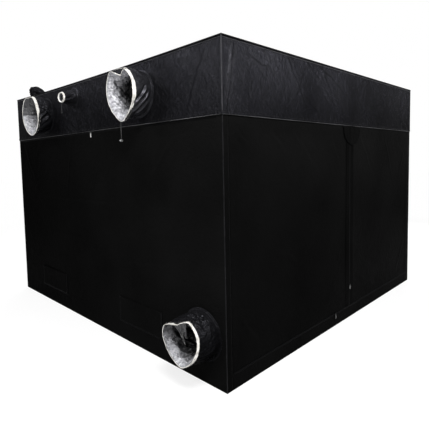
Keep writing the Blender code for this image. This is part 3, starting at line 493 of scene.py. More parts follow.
def evenSteps(low, high, step, extra=()):
    # even lines from low to high, where an extra line takes the place of one close beside it
    count = max(2, int(round((high - low) / step)) + 1)
    apart = 0.35 * step
    lines = np.linspace(low, high, count)
    kept = {line for line in lines if line in (low, high) or all(abs(line - more) > apart for more in extra)}
    return np.array(sorted(kept | {more for more in extra if low <= more <= high}))


# where a point at (u, v) on a side of the tent, out by some distance, lies in the room
sideTurns = {
    "front": (lambda u, v, out, face: (u, -face - out, v), False),
    "back": (lambda u, v, out, face: (u, face + out, v), True),
    "left": (lambda u, v, out, face: (-face - out, u, v), True),
    "right": (lambda u, v, out, face: (face + out, u, v), False),
    "top": (lambda u, v, out, face: (u, v, face + out), False),
}
sideOutward = {"front": (0, -1, 0), "back": (0, 1, 0), "left": (-1, 0, 0), "right": (1, 0, 0)}


def newObject(name, points, faces, materials):
    mesh = bpy.data.meshes.new(name)
    mesh.from_pydata([tuple(point) for point in points], [], faces)
    mesh.validate()
    for material in materials:
        mesh.materials.append(material)
    piece = bpy.data.objects.new(name, mesh)
    scene.collection.objects.link(piece)
    mesh.shade_smooth()
    return piece


clothBuild = {"thickness": 0.0011, "seenStep": 0.011, "bandStep": 0.008, "hiddenStep": 0.022}


def makeClothPanel(name, side, face, uLines, vLines, shape, holes=(), materials=None, thickness=None):
    # a sheet on one side of the tent: shape(u, v) says how far each point stands out of the face
    place, flipped = sideTurns[side]
    u, v = np.meshgrid(uLines, vLines, indexing="ij")
    keep = np.ones((len(uLines) - 1, len(vLines) - 1), bool)
    midU = (u[:-1, :-1] + u[1:, 1:]) / 2
    midV = (v[:-1, :-1] + v[1:, 1:]) / 2
    for hole in holes:
        if "halfU" in hole:
            keep &= (abs(midU - hole["u"]) > hole["halfU"]) | (abs(midV - hole["v"]) > hole["halfV"])
        else:
            keep &= np.hypot(midU - hole["u"], midV - hole["v"]) > hole["radius"]
    touched = np.zeros(u.shape, int)
    for du in (0, 1):
        for dv in (0, 1):
            touched[du:du + keep.shape[0], dv:dv + keep.shape[1]] += keep
    for hole in holes:
        if "radius" in hole:
            far = np.hypot(u - hole["u"], v - hole["v"])
            rim = (touched > 0) & (touched < 4) & (far < hole["radius"] * 1.25)
            pull = np.where(rim, hole["radius"] / np.maximum(far, 1e-6), 1)
            u = hole["u"] + (u - hole["u"]) * pull
            v = hole["v"] + (v - hole["v"]) * pull
    points = np.stack([np.broadcast_to(part, u.shape) for part in place(u, v, shape(u, v), face)], axis=-1)
    index = -np.ones(u.shape, int)
    index[touched > 0] = np.arange(int((touched > 0).sum()))
    faces = []
    for i, j in zip(*np.nonzero(keep)):
        ring = [index[i, j], index[i + 1, j], index[i + 1, j + 1], index[i, j + 1]]
        faces.append([int(k) for k in (ring[::-1] if flipped else ring)])
    panel = newObject(name, points[touched > 0], faces, materials or (canvas, wallFilm))
    giveThickness(panel, thickness or clothBuild["thickness"])
    return panel


def giveThickness(piece, thickness):
    cloth = piece.modifiers.new("cloth", "SOLIDIFY")
    cloth.thickness = thickness
    cloth.offset = -1
    cloth.material_offset = 1 if len(piece.data.materials) > 1 else 0
    return piece


def gridFaces(rows, columns, roundIt, flipped):
    faces = []
    for row in range(rows - 1):
        for column in range(columns if roundIt else columns - 1):
            after = (column + 1) % columns
            ring = [row * columns + column, row * columns + after,
                    (row + 1) * columns + after, (row + 1) * columns + column]
            faces.append(ring[::-1] if flipped else ring)
    return faces


def makeGrid(name, points, materials, roundIt=True, flipped=False):
    # quads over rows of points; roundIt joins the last point of each row to its first
    faces = gridFaces(*points.shape[:2], roundIt, flipped)
    return newObject(name, points.reshape(-1, 3), faces, materials)


def makeTube(name, path, radius, material, sides=8):
    # a round section swept along a path, with closed ends
    path = np.array(path, float)
    along = np.gradient(path, axis=0)
    along /= np.linalg.norm(along, axis=1)[:, None]
    start = np.array((0, 0, 1.0)) if abs(along[0][2]) < 0.9 else np.array((1.0, 0, 0))
    turns = np.linspace(0, 2 * math.pi, sides, endpoint=False)
    rings = []
    for point, run in zip(path, along):
        start = start - run * start.dot(run)
        start /= np.linalg.norm(start)
        other = np.cross(run, start)
        rings.append(point + radius * (np.cos(turns)[:, None] * start + np.sin(turns)[:, None] * other))
    last = len(rings) * sides
    faces = gridFaces(len(rings), sides, True, False)
    faces += [list(range(sides))[::-1], list(range(last - sides, last))]
    tube = newObject(name, np.concatenate(rings), faces, (material,))
    tube.data.polygons[-1].use_smooth = False
    tube.data.polygons[-2].use_smooth = False
    return tube


dashLook = {
    "length": 0.0045, "gap": 0.0025, "width": 0.0011, "rise": 0.0006, "topWide": 0.7, "topInwards": 0.25,
}


def makeDashes(name, material, rows, **change):
    # sewn or toothed rows: each row is a path and the way out of the cloth
    look = {**dashLook, **change}
    length, gap = look["length"], look["gap"]
    points, faces = [], []
    for path, outward in rows:
        path = np.array(path, float)
        outward = np.array(outward, float)
        steps = np.linalg.norm(np.diff(path, axis=0), axis=1)
        travelled = np.concatenate([[0], np.cumsum(steps)])
        for start in np.arange(gap, travelled[-1] - length, length + gap):
            ends = [np.array([np.interp(start + more, travelled, path[:, axis]) for axis in range(3)])
                    for more in (0, length)]
            run = (ends[1] - ends[0]) / max(np.linalg.norm(ends[1] - ends[0]), 1e-9)
            across = np.cross(run, outward)
            across *= look["width"] / 2 / max(np.linalg.norm(across), 1e-9)
            low, high = len(points), len(points) + 4
            for end in ends:
                points += [end - across, end + across]
            for end, inward in zip(ends, (look["topInwards"], -look["topInwards"])):
                top = end + outward * look["rise"] + run * length * inward
                points += [top - across * look["topWide"], top + across * look["topWide"]]
            faces += [
                [high, high + 1, high + 3, high + 2], [low, low + 1, high + 1, high],
                [low + 2, high + 2, high + 3, low + 3], [low, high, high + 2, low + 2],
                [low + 1, low + 3, high + 3, high + 1],
            ]
    return newObject(name, points, faces, (material,))


def movePoints(piece, rule):
    # rule takes the points' x, y and z and gives the new ones
    count = len(piece.data.vertices)
    flat = np.zeros(count * 3)
    piece.data.vertices.foreach_get("co", flat)
    x, y, z = flat.reshape(-1, 3).T
    piece.data.vertices.foreach_set("co", np.stack(rule(x, y, z), axis=1).ravel())
    piece.data.update()


def belong(piece, body, slot, *stoodFor):
    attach(piece, body)
    if stoodFor:
        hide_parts(*stoodFor)


# how cloth hangs

def edgeDistance(u, v, low, high):
    return np.minimum(np.minimum(u - low[0], high[0] - u), np.minimum(v - low[1], high[1] - v))


hangCells = {
    "broad": 0.62, "folds": (0.75, 0.10), "ripples": (0.20, 0.055), "crinkles": (0.15, 0.09), "patches": 0.4,
    "grain": 0.030, "grainReach": 0.02,
}
wallHangLook = {
    "bias": -0.0045, "broad": 0.0060, "folds": 0.0017, "ripples": 0.0008, "crinkles": 0.0006, "grain": 0.0003,
    "edgeReach": 0.13, "deepest": -0.017, "highest": -0.0006,
}
bandHangLook = {
    "bias": -0.0036, "broad": 0.0016, "folds": 0.0022, "ripples": 0.0022, "crinkles": 0.0026, "grain": 0.0008,
    "edgeReach": 0.034, "deepest": -0.010, "highest": 0.0100,
}


def clothHang(u, v, low, high, seed, slantDeg, look, ridges=(), calms=()):
    # broad slack, slanting folds from the corners, ripples and the finest dents; flat at the seams
    cells = hangCells
    edge = edgeDistance(u, v, low, high)
    hang = look["bias"] + look["broad"] * softNoise(u, v, cells["broad"], seed)
    hang = hang + look["folds"] * slantedFolds(u, v, slantDeg, *cells["folds"], seed + 1)
    hang = hang + look["ripples"] * slantedFolds(u, v, -1.3 * slantDeg, *cells["ripples"], seed + 2)
    sharp = 1 - 3.2 * abs(slantedFolds(u, v, 0.8 * slantDeg, *cells["crinkles"], seed + 4))
    patches = 0.5 + softNoise(u, v, cells["patches"], seed + 5)
    hang = hang + look["crinkles"] * np.maximum(sharp, 0) ** 1.5 * patches
    for start, end, width, height in ridges:
        hang = hang + crease(u, v, start, end, width, height)
    hang = hang * easeBetween(0, look["edgeReach"], edge)
    grain = look["grain"] * softNoise(u, v, cells["grain"], seed + 3)
    hang = hang + grain * easeBetween(0, cells["grainReach"], edge)
    for calmU, calmV, inner, outer in calms:
        hang = hang * easeBetween(inner, outer, np.hypot(u - calmU, v - calmV))
    return np.clip(hang, look["deepest"], look["highest"])


# duct sleeves

sleeveMesh = {  # points around and rings along
    "wide": {"cloth": (200, 46), "lining": (220, 64)},
    "small": {"cloth": (120, 34), "lining": (120, 30)},
}
sleeveBuild = {
    "small": 0.1, "thickness": 0.0008, "rootOut": 0.003, "clear": 0.0003, "outlineSteps": 720, "blur": 12.0,
    "blurReach": 30, "flangeWide": 0.014, "flangeStitches": (0.0085, 0.0016), "mouthStitches": (0.85, 0.15),
    "mouthLift": 0.0022, "mouthStitch": {"length": 0.004, "rise": 0.0005},
    "tunnelEdge": {"back": 0.01, "lift": 0.0008, "radius": 0.0015},
    "flange": ((0.014, 0.0004), (0.0125, 0.0012), (0.004, 0.0016), (0.0008, 0.0022)),
}
liningFoldLook = {
    "turnDeg": 6, "reachDeg": 27, "drop": 0.130, "pleats": 2.5, "deep": 0.020, "inwards": 0.030,
    "edge": 0.0011, "from": 0.985, "inset": 0.004, "columns": 61, "rows": 26, "gather": 0.62,
    "rough": (0.006, 0.008), "roughCells": 2.4, "thickness": 0.0005,
}
# outlines are mouth radii by the angle from the top; dips and thin places go by the same angle
sleeveLooks = {
    "duct_sleeve_upper_front": {
        "word": "upper_front", "face": bandFace, "y": -0.700, "z": 1.780, "droop": 0.010, "base": 0.146,
        "length": 0.150, "flare": 0.8, "fold": 0.008, "lobes": 5, "twist": 1.6, "seed": 41,
        "outline": (
            (12, .168), (35, .196), (50, .183), (69, .169), (92, .154), (123, .143), (155, .149), (178, .178),
            (186, .183), (198, .168), (215, .153), (234, .149), (249, .145), (268, .144), (284, .145),
            (298, .150), (316, .150), (331, .154), (345, .157),
        ),
        "dip": {"from": 0.84, "edge": "bright", "profile": (
            (-20, 0), (-17, 0.006), (-9, 0.045), (-5, 0.049), (5, 0.044), (15, 0.037), (25, 0.0264),
            (35, 0.003), (40, 0),
        )},
        "thin": ((18, 36, 0.9), (190, 38, 0.75), (100, 60, 0.5)), "crinkle": 0.004,
        "ridges": (((212, 0.80), (268, 0.12), 0.010, 0.016), ((222, 0.92), (283, 0.22), 0.009, 0.013),
                   ((205, 0.55), (244, 0.10), 0.007, 0.010), ((318, 0.2), (345, 0.8), 0.012, 0.006)),
        "lining": {"endRadius": 0.86, "shift": (-0.010, 0.010), "crumple": 0.016, "cell": 0.090,
                   "sags": ((20, 32, 0.020),)},
        "tape": 0.024, "tapeInside": 0.003,
    },
    "duct_sleeve_upper_back": {
        "word": "upper_back", "face": bandFace, "y": 0.750, "z": 1.776, "droop": 0.010, "base": 0.146,
        "length": 0.150, "flare": 0.8, "fold": 0.011, "lobes": 6, "twist": 2.2, "seed": 53,
        "outline": (
            (17, .178), (37, .202), (62, .193), (89, .182), (123, .162), (157, .164), (189, .181),
            (219, .177), (253, .168), (276, .146), (295, .141), (317, .150), (345, .165),
        ),
        "dip": {"from": 0.75, "edge": "black", "profile": (
            (-24, 0), (0, 0.007), (12, 0.012), (24, 0.007), (48, 0),
        )},
        "thin": ((225, 48, 0.82), (100, 70, 0.5)), "crinkle": 0.009,
        "ridges": (((236, 0.75), (262, 0.20), 0.012, 0.012), ((250, 0.95), (281, 0.30), 0.011, 0.011),
                   ((291, 0.80), (262, 0.25), 0.010, 0.010)),
        "lining": {"endRadius": 0.80, "shift": (-0.020, 0.010), "crumple": 0.013, "cell": 0.085,
                   "sags": ((48, 44, 0.042),)},
        "tape": 0.024, "tapeInside": 0.003,
    },
    "duct_sleeve_lower_front": {
        "word": "lower_front", "face": wallFace, "y": -1.252, "z": 0.290, "droop": 0.006, "base": 0.148,
        "length": 0.175, "flare": 1.2, "fold": 0.006, "lobes": 7, "twist": 1.2, "seed": 67,
        "outline": (
            (10, .122), (34, .130), (50, .147), (64, .165), (81, .162), (103, .143), (129, .130), (157, .127),
            (179, .135), (211, .114), (251, .117), (280, .140), (298, .156), (316, .164), (334, .168),
            (349, .140),
        ),
        "dip": {"from": 0.70, "edge": "black", "profile": (
            (-16, 0), (-2, 0.004), (12, 0.010), (30, 0.010), (44, 0.006), (60, 0),
        )},
        "thin": ((8, 24, 0.7), (110, 76, 0.78)), "crinkle": 0.012,
        "ridges": (((322, 0.85), (340, 0.25), 0.010, 0.011), ((300, 0.70), (318, 0.15), 0.010, 0.010),
                   ((345, 0.55), (20, 0.30), 0.011, 0.010), ((290, 0.35), (330, 0.45), 0.009, 0.009)),
        "lining": {
            "endRadius": 0.84, "shift": (-0.010, 0.020), "crumple": 0.017, "cell": 0.090,
            "sags": ((28, 26, 0.030), (350, 9, 0.030)), "fold": liningFoldLook,
        },
        "tape": 0.018, "tapeInside": 0.003,
    },
    "cable_sleeve": {
        "word": "cable", "face": bandFace, "y": 0.205, "z": 1.866, "droop": 0.004, "base": 0.074,
        "length": 0.120, "flare": 0.9, "fold": 0.006, "lobes": 6, "twist": 1.8, "seed": 79,
        "outline": (
            (0, .038), (43, .043), (75, .046), (106, .040), (164, .034), (216, .043), (245, .054),
            (268, .056), (292, .049), (350, .038),
        ),
        "dip": None, "thin": (), "crinkle": 0.003,
        "ridges": (((240, 0.85), (268, 0.15), 0.007, 0.008), ((285, 0.80), (310, 0.20), 0.006, 0.006)),
        "lining": {"endRadius": 0.80, "shift": (0.0, 0.0), "crumple": 0.004, "cell": 0.05, "sags": ()},
        "tape": 0.014, "tapeInside": 0.013,
    },
}


def outlineRadius(angle, outline):
    # the mouth's radius at an angle from its top, smoothed between the measured places
    turns = np.linspace(0, 360, sleeveBuild["outlineSteps"], endpoint=False)
    degrees, radii = zip(*outline)
    radius = np.interp(turns, degrees, radii, period=360)
    shifts = range(-sleeveBuild["blurReach"], sleeveBuild["blurReach"] + 1)
    weights = np.exp(-(np.array(shifts) / sleeveBuild["blur"]) ** 2)
    radius = sum(weight * np.roll(radius, shift) for weight, shift in zip(weights, shifts)) / weights.sum()
    return np.interp(np.degrees(angle) % 360, turns, radius, period=360)


def turnApart(degrees, centre):
    return (degrees - centre + 180) % 360 - 180


def sleeveSkin(look, share, angle, inset=0.0):
    # a point on the outside of a sleeve: share 0 on the wall and 1 at the mouth, angle from the top
    share, angle = np.broadcast_arrays(np.asarray(share, float), np.asarray(angle, float))
    degrees = np.degrees(angle)
    radius = look["base"] + (outlineRadius(angle, look["outline"]) - look["base"]) * share ** look["flare"]
    swell = np.sin(math.pi * np.clip((share - 0.05) * 1.08, 0, 1)) ** 0.8
    wander = softNoise(np.cos(angle) * 2 + share, np.sin(angle) * 2, 0.9, look["seed"])
    wave = np.cos(look["lobes"] * angle + look["twist"] * share + 2.4 * wander)
    rough = softNoise(np.cos(angle) * 5 + 2 * share, np.sin(angle) * 5 - share, 1, look["seed"] + 1)
    radius = radius + look["fold"] * swell * (0.55 * wave + 0.9 * rough)
    fine = softNoise(np.cos(angle) * 11 + 5 * share, np.sin(angle) * 11 - 4 * share, 1, look["seed"] + 2)
    upper = 0.45 + 0.55 * np.maximum(np.cos(angle + 0.5), 0)
    radius = radius + look["crinkle"] * swell * (0.35 - 2.2 * abs(fine)) * upper
    arc = look["base"]
    for start, end, width, height in look["ridges"]:
        middle = (start[0] + end[0]) / 2
        if abs(end[0] - start[0]) >= 180:
            middle = (start[0] + end[0] + 360) / 2 % 360
        across = np.radians(turnApart(degrees, middle)) * arc
        begin = (math.radians(float(turnApart(start[0], middle))) * arc, start[1] * look["length"])
        finish = (math.radians(float(turnApart(end[0], middle))) * arc, end[1] * look["length"])
        radius = radius + crease(across, share * look["length"], begin, finish, width, height)
    if look["dip"]:
        turns, depths = zip(*look["dip"]["profile"])
        depth = np.interp(turnApart(degrees, 0), turns, depths)
        radius = radius - depth * easeBetween(look["dip"]["from"], 1, share)
    radius = radius - inset
    out = sleeveBuild["rootOut"] + (look["length"] - sleeveBuild["rootOut"]) * share
    return np.stack([
        -look["face"] - sleeveBuild["clear"] - out, look["y"] + radius * np.sin(angle),
        look["z"] + radius * np.cos(angle) - look["droop"] * share ** 2,
    ], axis=-1)


def meshOf(look):
    return sleeveMesh["wide" if look["base"] > sleeveBuild["small"] else "small"]


def makeSleeveBody(look):
    columns, rows = meshOf(look)["cloth"]
    angle = np.linspace(0, 2 * math.pi, columns, endpoint=False)
    rings = []
    for wide, rise in sleeveBuild["flange"]:
        ring = sleeveSkin(look, 0, angle, inset=-wide)
        ring[:, 0] = -look["face"] - rise
        rings.append(ring)
    for share in np.linspace(0, 1, rows):
        rings.append(sleeveSkin(look, share, angle))
    body = makeGrid(f"sleeve_cloth_{look['word']}", np.array(rings), (sleeveCanvases[look["word"]],))
    return giveThickness(body, sleeveBuild["thickness"])


liningBuild = {
    "short": 0.004, "gap": 0.0018, "thickness": 0.0004, "leastRadius": 0.01, "inwards": 0.02,
    "sagFrom": (0.04, 0.40), "crumples": ((1, 0.55), (0.5, 0.30), (0.27, 0.15)),  # size and weight of each
}


def makeSleeveLining(look):
    # silver lining: from the mouth inwards it crumples, narrows and drifts to one side
    lining, build = look["lining"], liningBuild
    columns, rows = meshOf(look)["lining"]
    angle = np.linspace(0, 2 * math.pi, columns, endpoint=False)
    rings = []
    for depth in np.linspace(0, 1, rows):
        share = (1 - depth) * (1 - build["short"] / look["length"])
        ring = sleeveSkin(look, share, angle, inset=build["gap"])
        centre = np.array((0, look["y"], look["z"] - look["droop"] * share ** 2))
        draw = easeBetween(0.0, 1.0, depth)
        narrow = 1 - (1 - lining["endRadius"]) * draw
        away = ring - centre
        crumple = 0
        for scale, part in build["crumples"]:
            field = softNoise(
                away[:, 1] + 0.5 * depth * look["length"], away[:, 2] + 0.3 * depth, lining["cell"] * scale,
                look["seed"] + int(scale * 10),
            )
            crumple = crumple + part * (1 - 3.0 * abs(field))
        sink = lining["crumple"] * (0.7 + crumple) * min(1, depth * 5)
        for centreDeg, spreadDeg, inward in lining["sags"]:
            window = np.exp(-(turnApart(np.degrees(angle), centreDeg) / spreadDeg) ** 6)
            sink = sink + inward * window * easeBetween(*build["sagFrom"], depth)
        size = np.hypot(away[:, 1], away[:, 2])
        keep = np.maximum(size * narrow - np.maximum(sink, 0), build["leastRadius"]) / size
        ring[:, 1] = look["y"] + away[:, 1] * keep + lining["shift"][0] * draw
        ring[:, 2] = centre[2] + away[:, 2] * keep + lining["shift"][1] * draw
        ring[:, 0] = ring[:, 0] + build["inwards"] * depth
        rings.append(ring)
    piece = makeGrid(f"sleeve_lining_{look['word']}", np.array(rings), (sleeveFilms[look["word"]],))
    return giveThickness(piece, -build["thickness"])


def makeLiningFold(look):
    # the part of the lining that has come away under the mouth's top hangs down in pleats
    fold = look["lining"]["fold"]
    across, down = np.meshgrid(np.linspace(-1, 1, fold["columns"]), np.linspace(0, 1, fold["rows"]))
    turn = np.radians(fold["turnDeg"] + across * fold["reachDeg"])
    top = sleeveSkin(look, fold["from"], turn, inset=fold["inset"])
    pleat = np.sin(fold["pleats"] * math.pi * across + 0.5)
    rough = softNoise(across * fold["roughCells"], down * fold["roughCells"], 1, look["seed"] + 8)
    centre = top[0, fold["columns"] // 2, 1]
    top[..., 0] += (
        fold["inset"] + fold["inwards"] * down + fold["deep"] * pleat * np.sqrt(down) * 0.7
        + fold["rough"][0] * rough * down
    )
    gather = fold["gather"] * easeBetween(0, 1, down)
    top[..., 1] += (centre - top[..., 1]) * gather + fold["rough"][1] * rough * down
    top[..., 2] -= fold["drop"] * down * (0.72 + 0.28 * pleat) * (1 - 0.35 * across ** 2)
    piece = makeGrid(f"lining_fold_{look['word']}", top, (shadedFoldFilm,), roundIt=False)
    edge = makeTube(f"lining_fold_edge_{look['word']}", top[-1], fold["edge"], litFoldEdgeTape, sides=6)
    return [giveThickness(piece, -fold["thickness"]), edge]


tapeLook = {  # places along the sleeve and off its skin
    "edge": ((0, 0.0003), (0.0008, 0.0010)), "outside": ((0.7, 0.0013), (0.35, 0.0014)),
    "inside": (-0.0012, -0.0024), "insideParts": (0.4, 0.75, 1.0), "closing": (0.001, 0.002),
    "rim": (
        (-0.003, 0.0013), (0.0002, 0.0009), (0.0010, 0.0), (0.0011, -0.0008), (0.0005, -0.0016),
        (-0.0012, -0.0022),
    ),
    "turnIn": 0.007, "ripple": 0.0005,
}


def makeMouthTape(look):
    # white tape over the rim: wide on the outside, narrow inside
    angle = np.linspace(0, 2 * math.pi, meshOf(look)["lining"][0], endpoint=False)
    wide, inside, turnIn = look["tape"], look["tapeInside"], tapeLook["turnIn"]
    section = [(-wide + along, lift) for along, lift in tapeLook["edge"]]
    section += [(-wide * share, lift) for share, lift in tapeLook["outside"]]
    section += tapeLook["rim"]
    along, lift = tapeLook["inside"]
    for part in tapeLook["insideParts"]:
        section.append((along - min(inside, turnIn) * part, lift - max(inside - turnIn, 0) * part))
    section.append((section[-1][0] + tapeLook["closing"][0], section[-1][1] + tapeLook["closing"][1]))
    narrow = np.ones_like(angle)
    for centre, spreadDeg, amount in look["thin"]:
        away = turnApart(np.degrees(angle), centre) / spreadDeg
        narrow = np.minimum(narrow, 1 - amount * np.exp(-away ** 4))
    rings = []
    for along, lift in section:
        ripple = softNoise(np.cos(angle) * 9, np.sin(angle) * 9 + along * 40, 1, look["seed"] + 5)
        back = np.minimum(along, 0) * narrow
        ring = sleeveSkin(look, 1 + back / look["length"], angle, inset=-lift)
        ring[:, 0] -= max(along, 0) + tapeLook["ripple"] * ripple
        rings.append(ring)
    return makeGrid(f"mouth_tape_{look['word']}", np.array(rings), (brightTape,))


def makeSleeveStitches(look):
    word, build = look["word"], sleeveBuild
    angle = np.linspace(0, 2 * math.pi, 121)
    wide, rise = build["flangeStitches"]
    flange = sleeveSkin(look, 0, angle, inset=-wide)
    flange[:, 0] = -look["face"] - rise
    made = [makeDashes(f"sleeve_stitches_{word}", thread, [(flange, (-1, 0, 0))])]
    around = []
    for place in build["mouthStitches"]:
        ring = sleeveSkin(look, 1 - look["tape"] * place / look["length"], angle, inset=-build["mouthLift"])
        for start in range(0, 120, 10):
            part = ring[start:start + 11]
            middle = part[5] - np.array((part[5][0], look["y"], look["z"]))
            around.append((part, middle / np.linalg.norm(middle)))
    made.append(makeDashes(f"mouth_stitches_{word}", brightTape, around, **build["mouthStitch"]))
    if look["dip"]:
        # the edge of the cord's tunnel still shows where the mouth has folded down
        dip, edge = look["dip"], build["tunnelEdge"]
        turns = np.radians(np.linspace(dip["profile"][0][0] - 4, dip["profile"][-1][0] + 2, 40))
        path = sleeveSkin(look, dip["from"] - edge["back"], turns, inset=-edge["lift"])
        finish = brightTape if dip["edge"] == "bright" else cornerTape
        made.append(makeTube(f"cord_tunnel_edge_{word}", path, edge["radius"], finish))
    return made


def makeSleeve(node, look):
    body = makeSleeveBody(look)
    lining = makeSleeveLining(look)
    trimmings = [makeMouthTape(look), *makeSleeveStitches(look)]
    belong(body, mainBody, "black_cloth", node)
    for piece in (lining, *trimmings):
        belong(piece, mainBody, None)
    folds = makeLiningFold(look) if "fold" in look["lining"] else []
    for piece in folds:
        belong(piece, mainBody, None)


for node, look in sleeveLooks.items():
    makeSleeve(node, look)
print("wall sleeves made")


# roof sleeve, drawn shut and fallen over towards the sleeve wall

roofSleeveLook = {
    "x": -1.296, "y": 1.272, "radius": 0.090, "end": 0.047, "bend": 0.060, "bendDeg": 98, "rise": 0.008,
    "fold": 0.011, "lobes": 9, "seed": 91, "columns": 168, "rings": 44, "thickness": 0.0008, "shown": 0.15,
    "flange": ((0.014, 0.0006), (0.0125, 0.0014), (0.004, 0.0020), (0.0008, 0.0032)),
    "drawn": (
        (0.006, 0.90), (0.010, 0.72), (0.011, 0.50), (0.009, 0.30), (0.006, 0.17), (0.010, 0.13),
        (0.018, 0.24),
    ),
    "pleats": 13, "tie": 0.0020, "stitches": (0.0085, 0.0018),
}


def roofSleeveRing(look, share, angle):
    turned = math.radians(look["bendDeg"]) * share
    middle = np.array((look["x"] - look["bend"] * (1 - math.cos(turned)), look["y"],
                       roofTop + look["rise"] + look["bend"] * math.sin(turned)))
    wander = softNoise(np.cos(angle) * 2, np.sin(angle) * 2 + share, 1, look["seed"])
    rough = softNoise(np.cos(angle) * 4 + share * 2, np.sin(angle) * 4 + share * 3, 1, look["seed"] + 1)
    swell = min(share * 4, 1)
    radius = look["radius"] + (look["end"] - look["radius"]) * share ** 1.4
    radius = radius + look["fold"] * swell * (0.5 * np.cos(look["lobes"] * angle + 3 * wander) + 1.1 * rough)
    across = radius * np.cos(angle)
    return np.stack([
        middle[0] + across * math.cos(turned), middle[1] + radius * np.sin(angle),
        middle[2] + across * math.sin(turned),
    ], axis=-1)


def makeRoofSleeve(look):
    angle = np.linspace(0, 2 * math.pi, look["columns"], endpoint=False)
    flat = np.stack([np.cos(angle), np.sin(angle), angle * 0], axis=-1)
    centre = np.array((look["x"], look["y"], roofTop))
    rings = []
    for wide, rise in look["flange"]:
        rings.append(centre + (look["radius"] + wide) * flat + np.array((0, 0, rise)))
    for share in np.linspace(0, 1, look["rings"]):
        rings.append(roofSleeveRing(look, share, angle))
    last = rings[-1]
    middle = last.mean(0)
    out = np.array((-math.sin(math.radians(look["bendDeg"])), 0, math.cos(math.radians(look["bendDeg"]))))
    for far, narrow in look["drawn"]:
        pleats = 1 + 0.16 * (1 - narrow) * np.cos(look["pleats"] * angle)
        rings.append(middle + (last - middle) * (narrow * pleats)[:, None] + out * far)
    body = makeGrid("roof_sleeve_cloth", np.array(rings), (sleeveCanvases["roof"],), flipped=True)
    giveThickness(body, look["thickness"])
    neck = rings[-2][::8] + out * 0.001
    tie = makeTube("roof_sleeve_tie", np.concatenate([neck, neck[:1]]), look["tie"], cordSheath)
    turns = np.linspace(0, 2 * math.pi, 97)
    wide, rise = look["stitches"]
    row = np.stack([np.cos(turns), np.sin(turns), turns * 0], axis=-1) * (look["radius"] + wide) + centre
    hem = makeDashes("roof_sleeve_stitches", thread, [(row + np.array((0, 0, rise)), (0, 0, 1))])
    belong(body, mainBody, "black_cloth", "roof_sleeve")
    belong(tie, mainBody, "cord")
    belong(hem, mainBody, None)


makeRoofSleeve(roofSleeveLook)
print("roof sleeve made")


# upper band of the cover, its hem and the roof

bandLook = {
    "lap": 0.0023, "foot": 0.002, "slantDeg": -38, "sleeveCalm": (0.016, 0.09), "roundOver": 0.028,
    "overIn": 0.0030, "leftSag": 0.011, "sagFrom": 1.05, "sagWide": 0.38, "railShare": 0.9,
    "hemHigh": 0.021, "hemProud": 0.0026, "hemSunk": 0.0014, "hemThick": 0.0042, "hemStep": 0.016,
    "hemShares": (0, 0.04, 0.12, 0.25, 0.5, 0.75, 0.88, 0.96, 1.0), "hemWave": 0.0009, "hemWaveCell": 0.14,
    "lipUp": 0.0018, "lipSunk": 0.0012, "lipRadius": 0.0015, "lipWave": 0.0006, "stitchUp": 0.0170,
    "topSeamDrop": 0.0140, "topSeamSunk": 0.0008, "topSeamRadius": 0.0022, "topSeamWave": 0.0003,
    "waveCell": 0.10, "stitch": {"length": 0.006, "gap": 0.004},
}
bandRidges = {
    "front": (
        ((-1.353, 1.990), (-1.425, 1.580), 0.011, 0.0140), ((-0.620, 2.000), (-0.270, 1.770), 0.012, 0.0110),
        ((-0.370, 1.832), (-0.010, 1.590), 0.011, 0.0115), ((-0.470, 1.990), (-0.070, 1.838), 0.011, 0.0080),
        ((-0.836, 1.990), (-0.560, 1.620), 0.011, 0.0070), ((-1.240, 1.926), (-1.060, 1.872), 0.010, 0.0056),
        ((-0.400, 1.990), (-0.220, 1.780), 0.010, 0.0056), ((-0.640, 1.760), (-0.420, 1.620), 0.010, 0.0052),
        ((0.620, 1.985), (0.930, 1.660), 0.014, 0.0030), ((1.310, 1.980), (1.150, 1.620), 0.013, 0.0036),
        ((0.200, 1.970), (0.420, 1.640), 0.012, 0.0026),
    ),
    "left": (
        ((-1.340, 1.975), (-1.180, 1.630), 0.013, 0.0040), ((-0.430, 1.960), (-0.120, 1.640), 0.013, 0.0036),
        ((1.330, 1.970), (1.160, 1.650), 0.013, 0.0034), ((0.400, 1.720), (0.130, 1.610), 0.011, 0.0030),
    ),
    "back": (
        ((-1.300, 1.970), (-1.050, 1.620), 0.013, 0.0040), ((-0.300, 1.980), (0.050, 1.630), 0.013, 0.0036),
        ((0.600, 1.980), (0.900, 1.640), 0.012, 0.0030), ((1.350, 1.970), (1.200, 1.620), 0.013, 0.0040),
    ),
    "right": (
        ((-1.330, 1.970), (-1.120, 1.620), 0.013, 0.0040), ((-0.600, 1.980), (-0.280, 1.640), 0.013, 0.0034),
        ((0.200, 1.970), (0.520, 1.640), 0.012, 0.0030), ((1.320, 1.980), (1.150, 1.630), 0.013, 0.0040),
    ),
}


def sagLeft(x, y, z):
    # the roof line over the sleeve wall hangs a little at its middle
    near = np.clip((-x - bandLook["sagFrom"]) / bandLook["sagWide"], 0, 1) ** 2
    high = easeBetween(seamHeight + 0.05, roofTop, z)
    return x, y, z - bandLook["leftSag"] * near * high * np.clip(1 - (y / bandFace) ** 2, 0, 1)


def calmAround(sleeve):
    near, far = bandLook["sleeveCalm"]
    return sleeve["y"], sleeve["z"], sleeve["base"] + near, sleeve["base"] + far


def alongBand(side, line, height, out):
    # a line of points along one side of the band
    points = sideTurns[side][0](line, height, out, bandFace)
    return np.stack([np.broadcast_to(part, line.shape) for part in points], axis=-1)


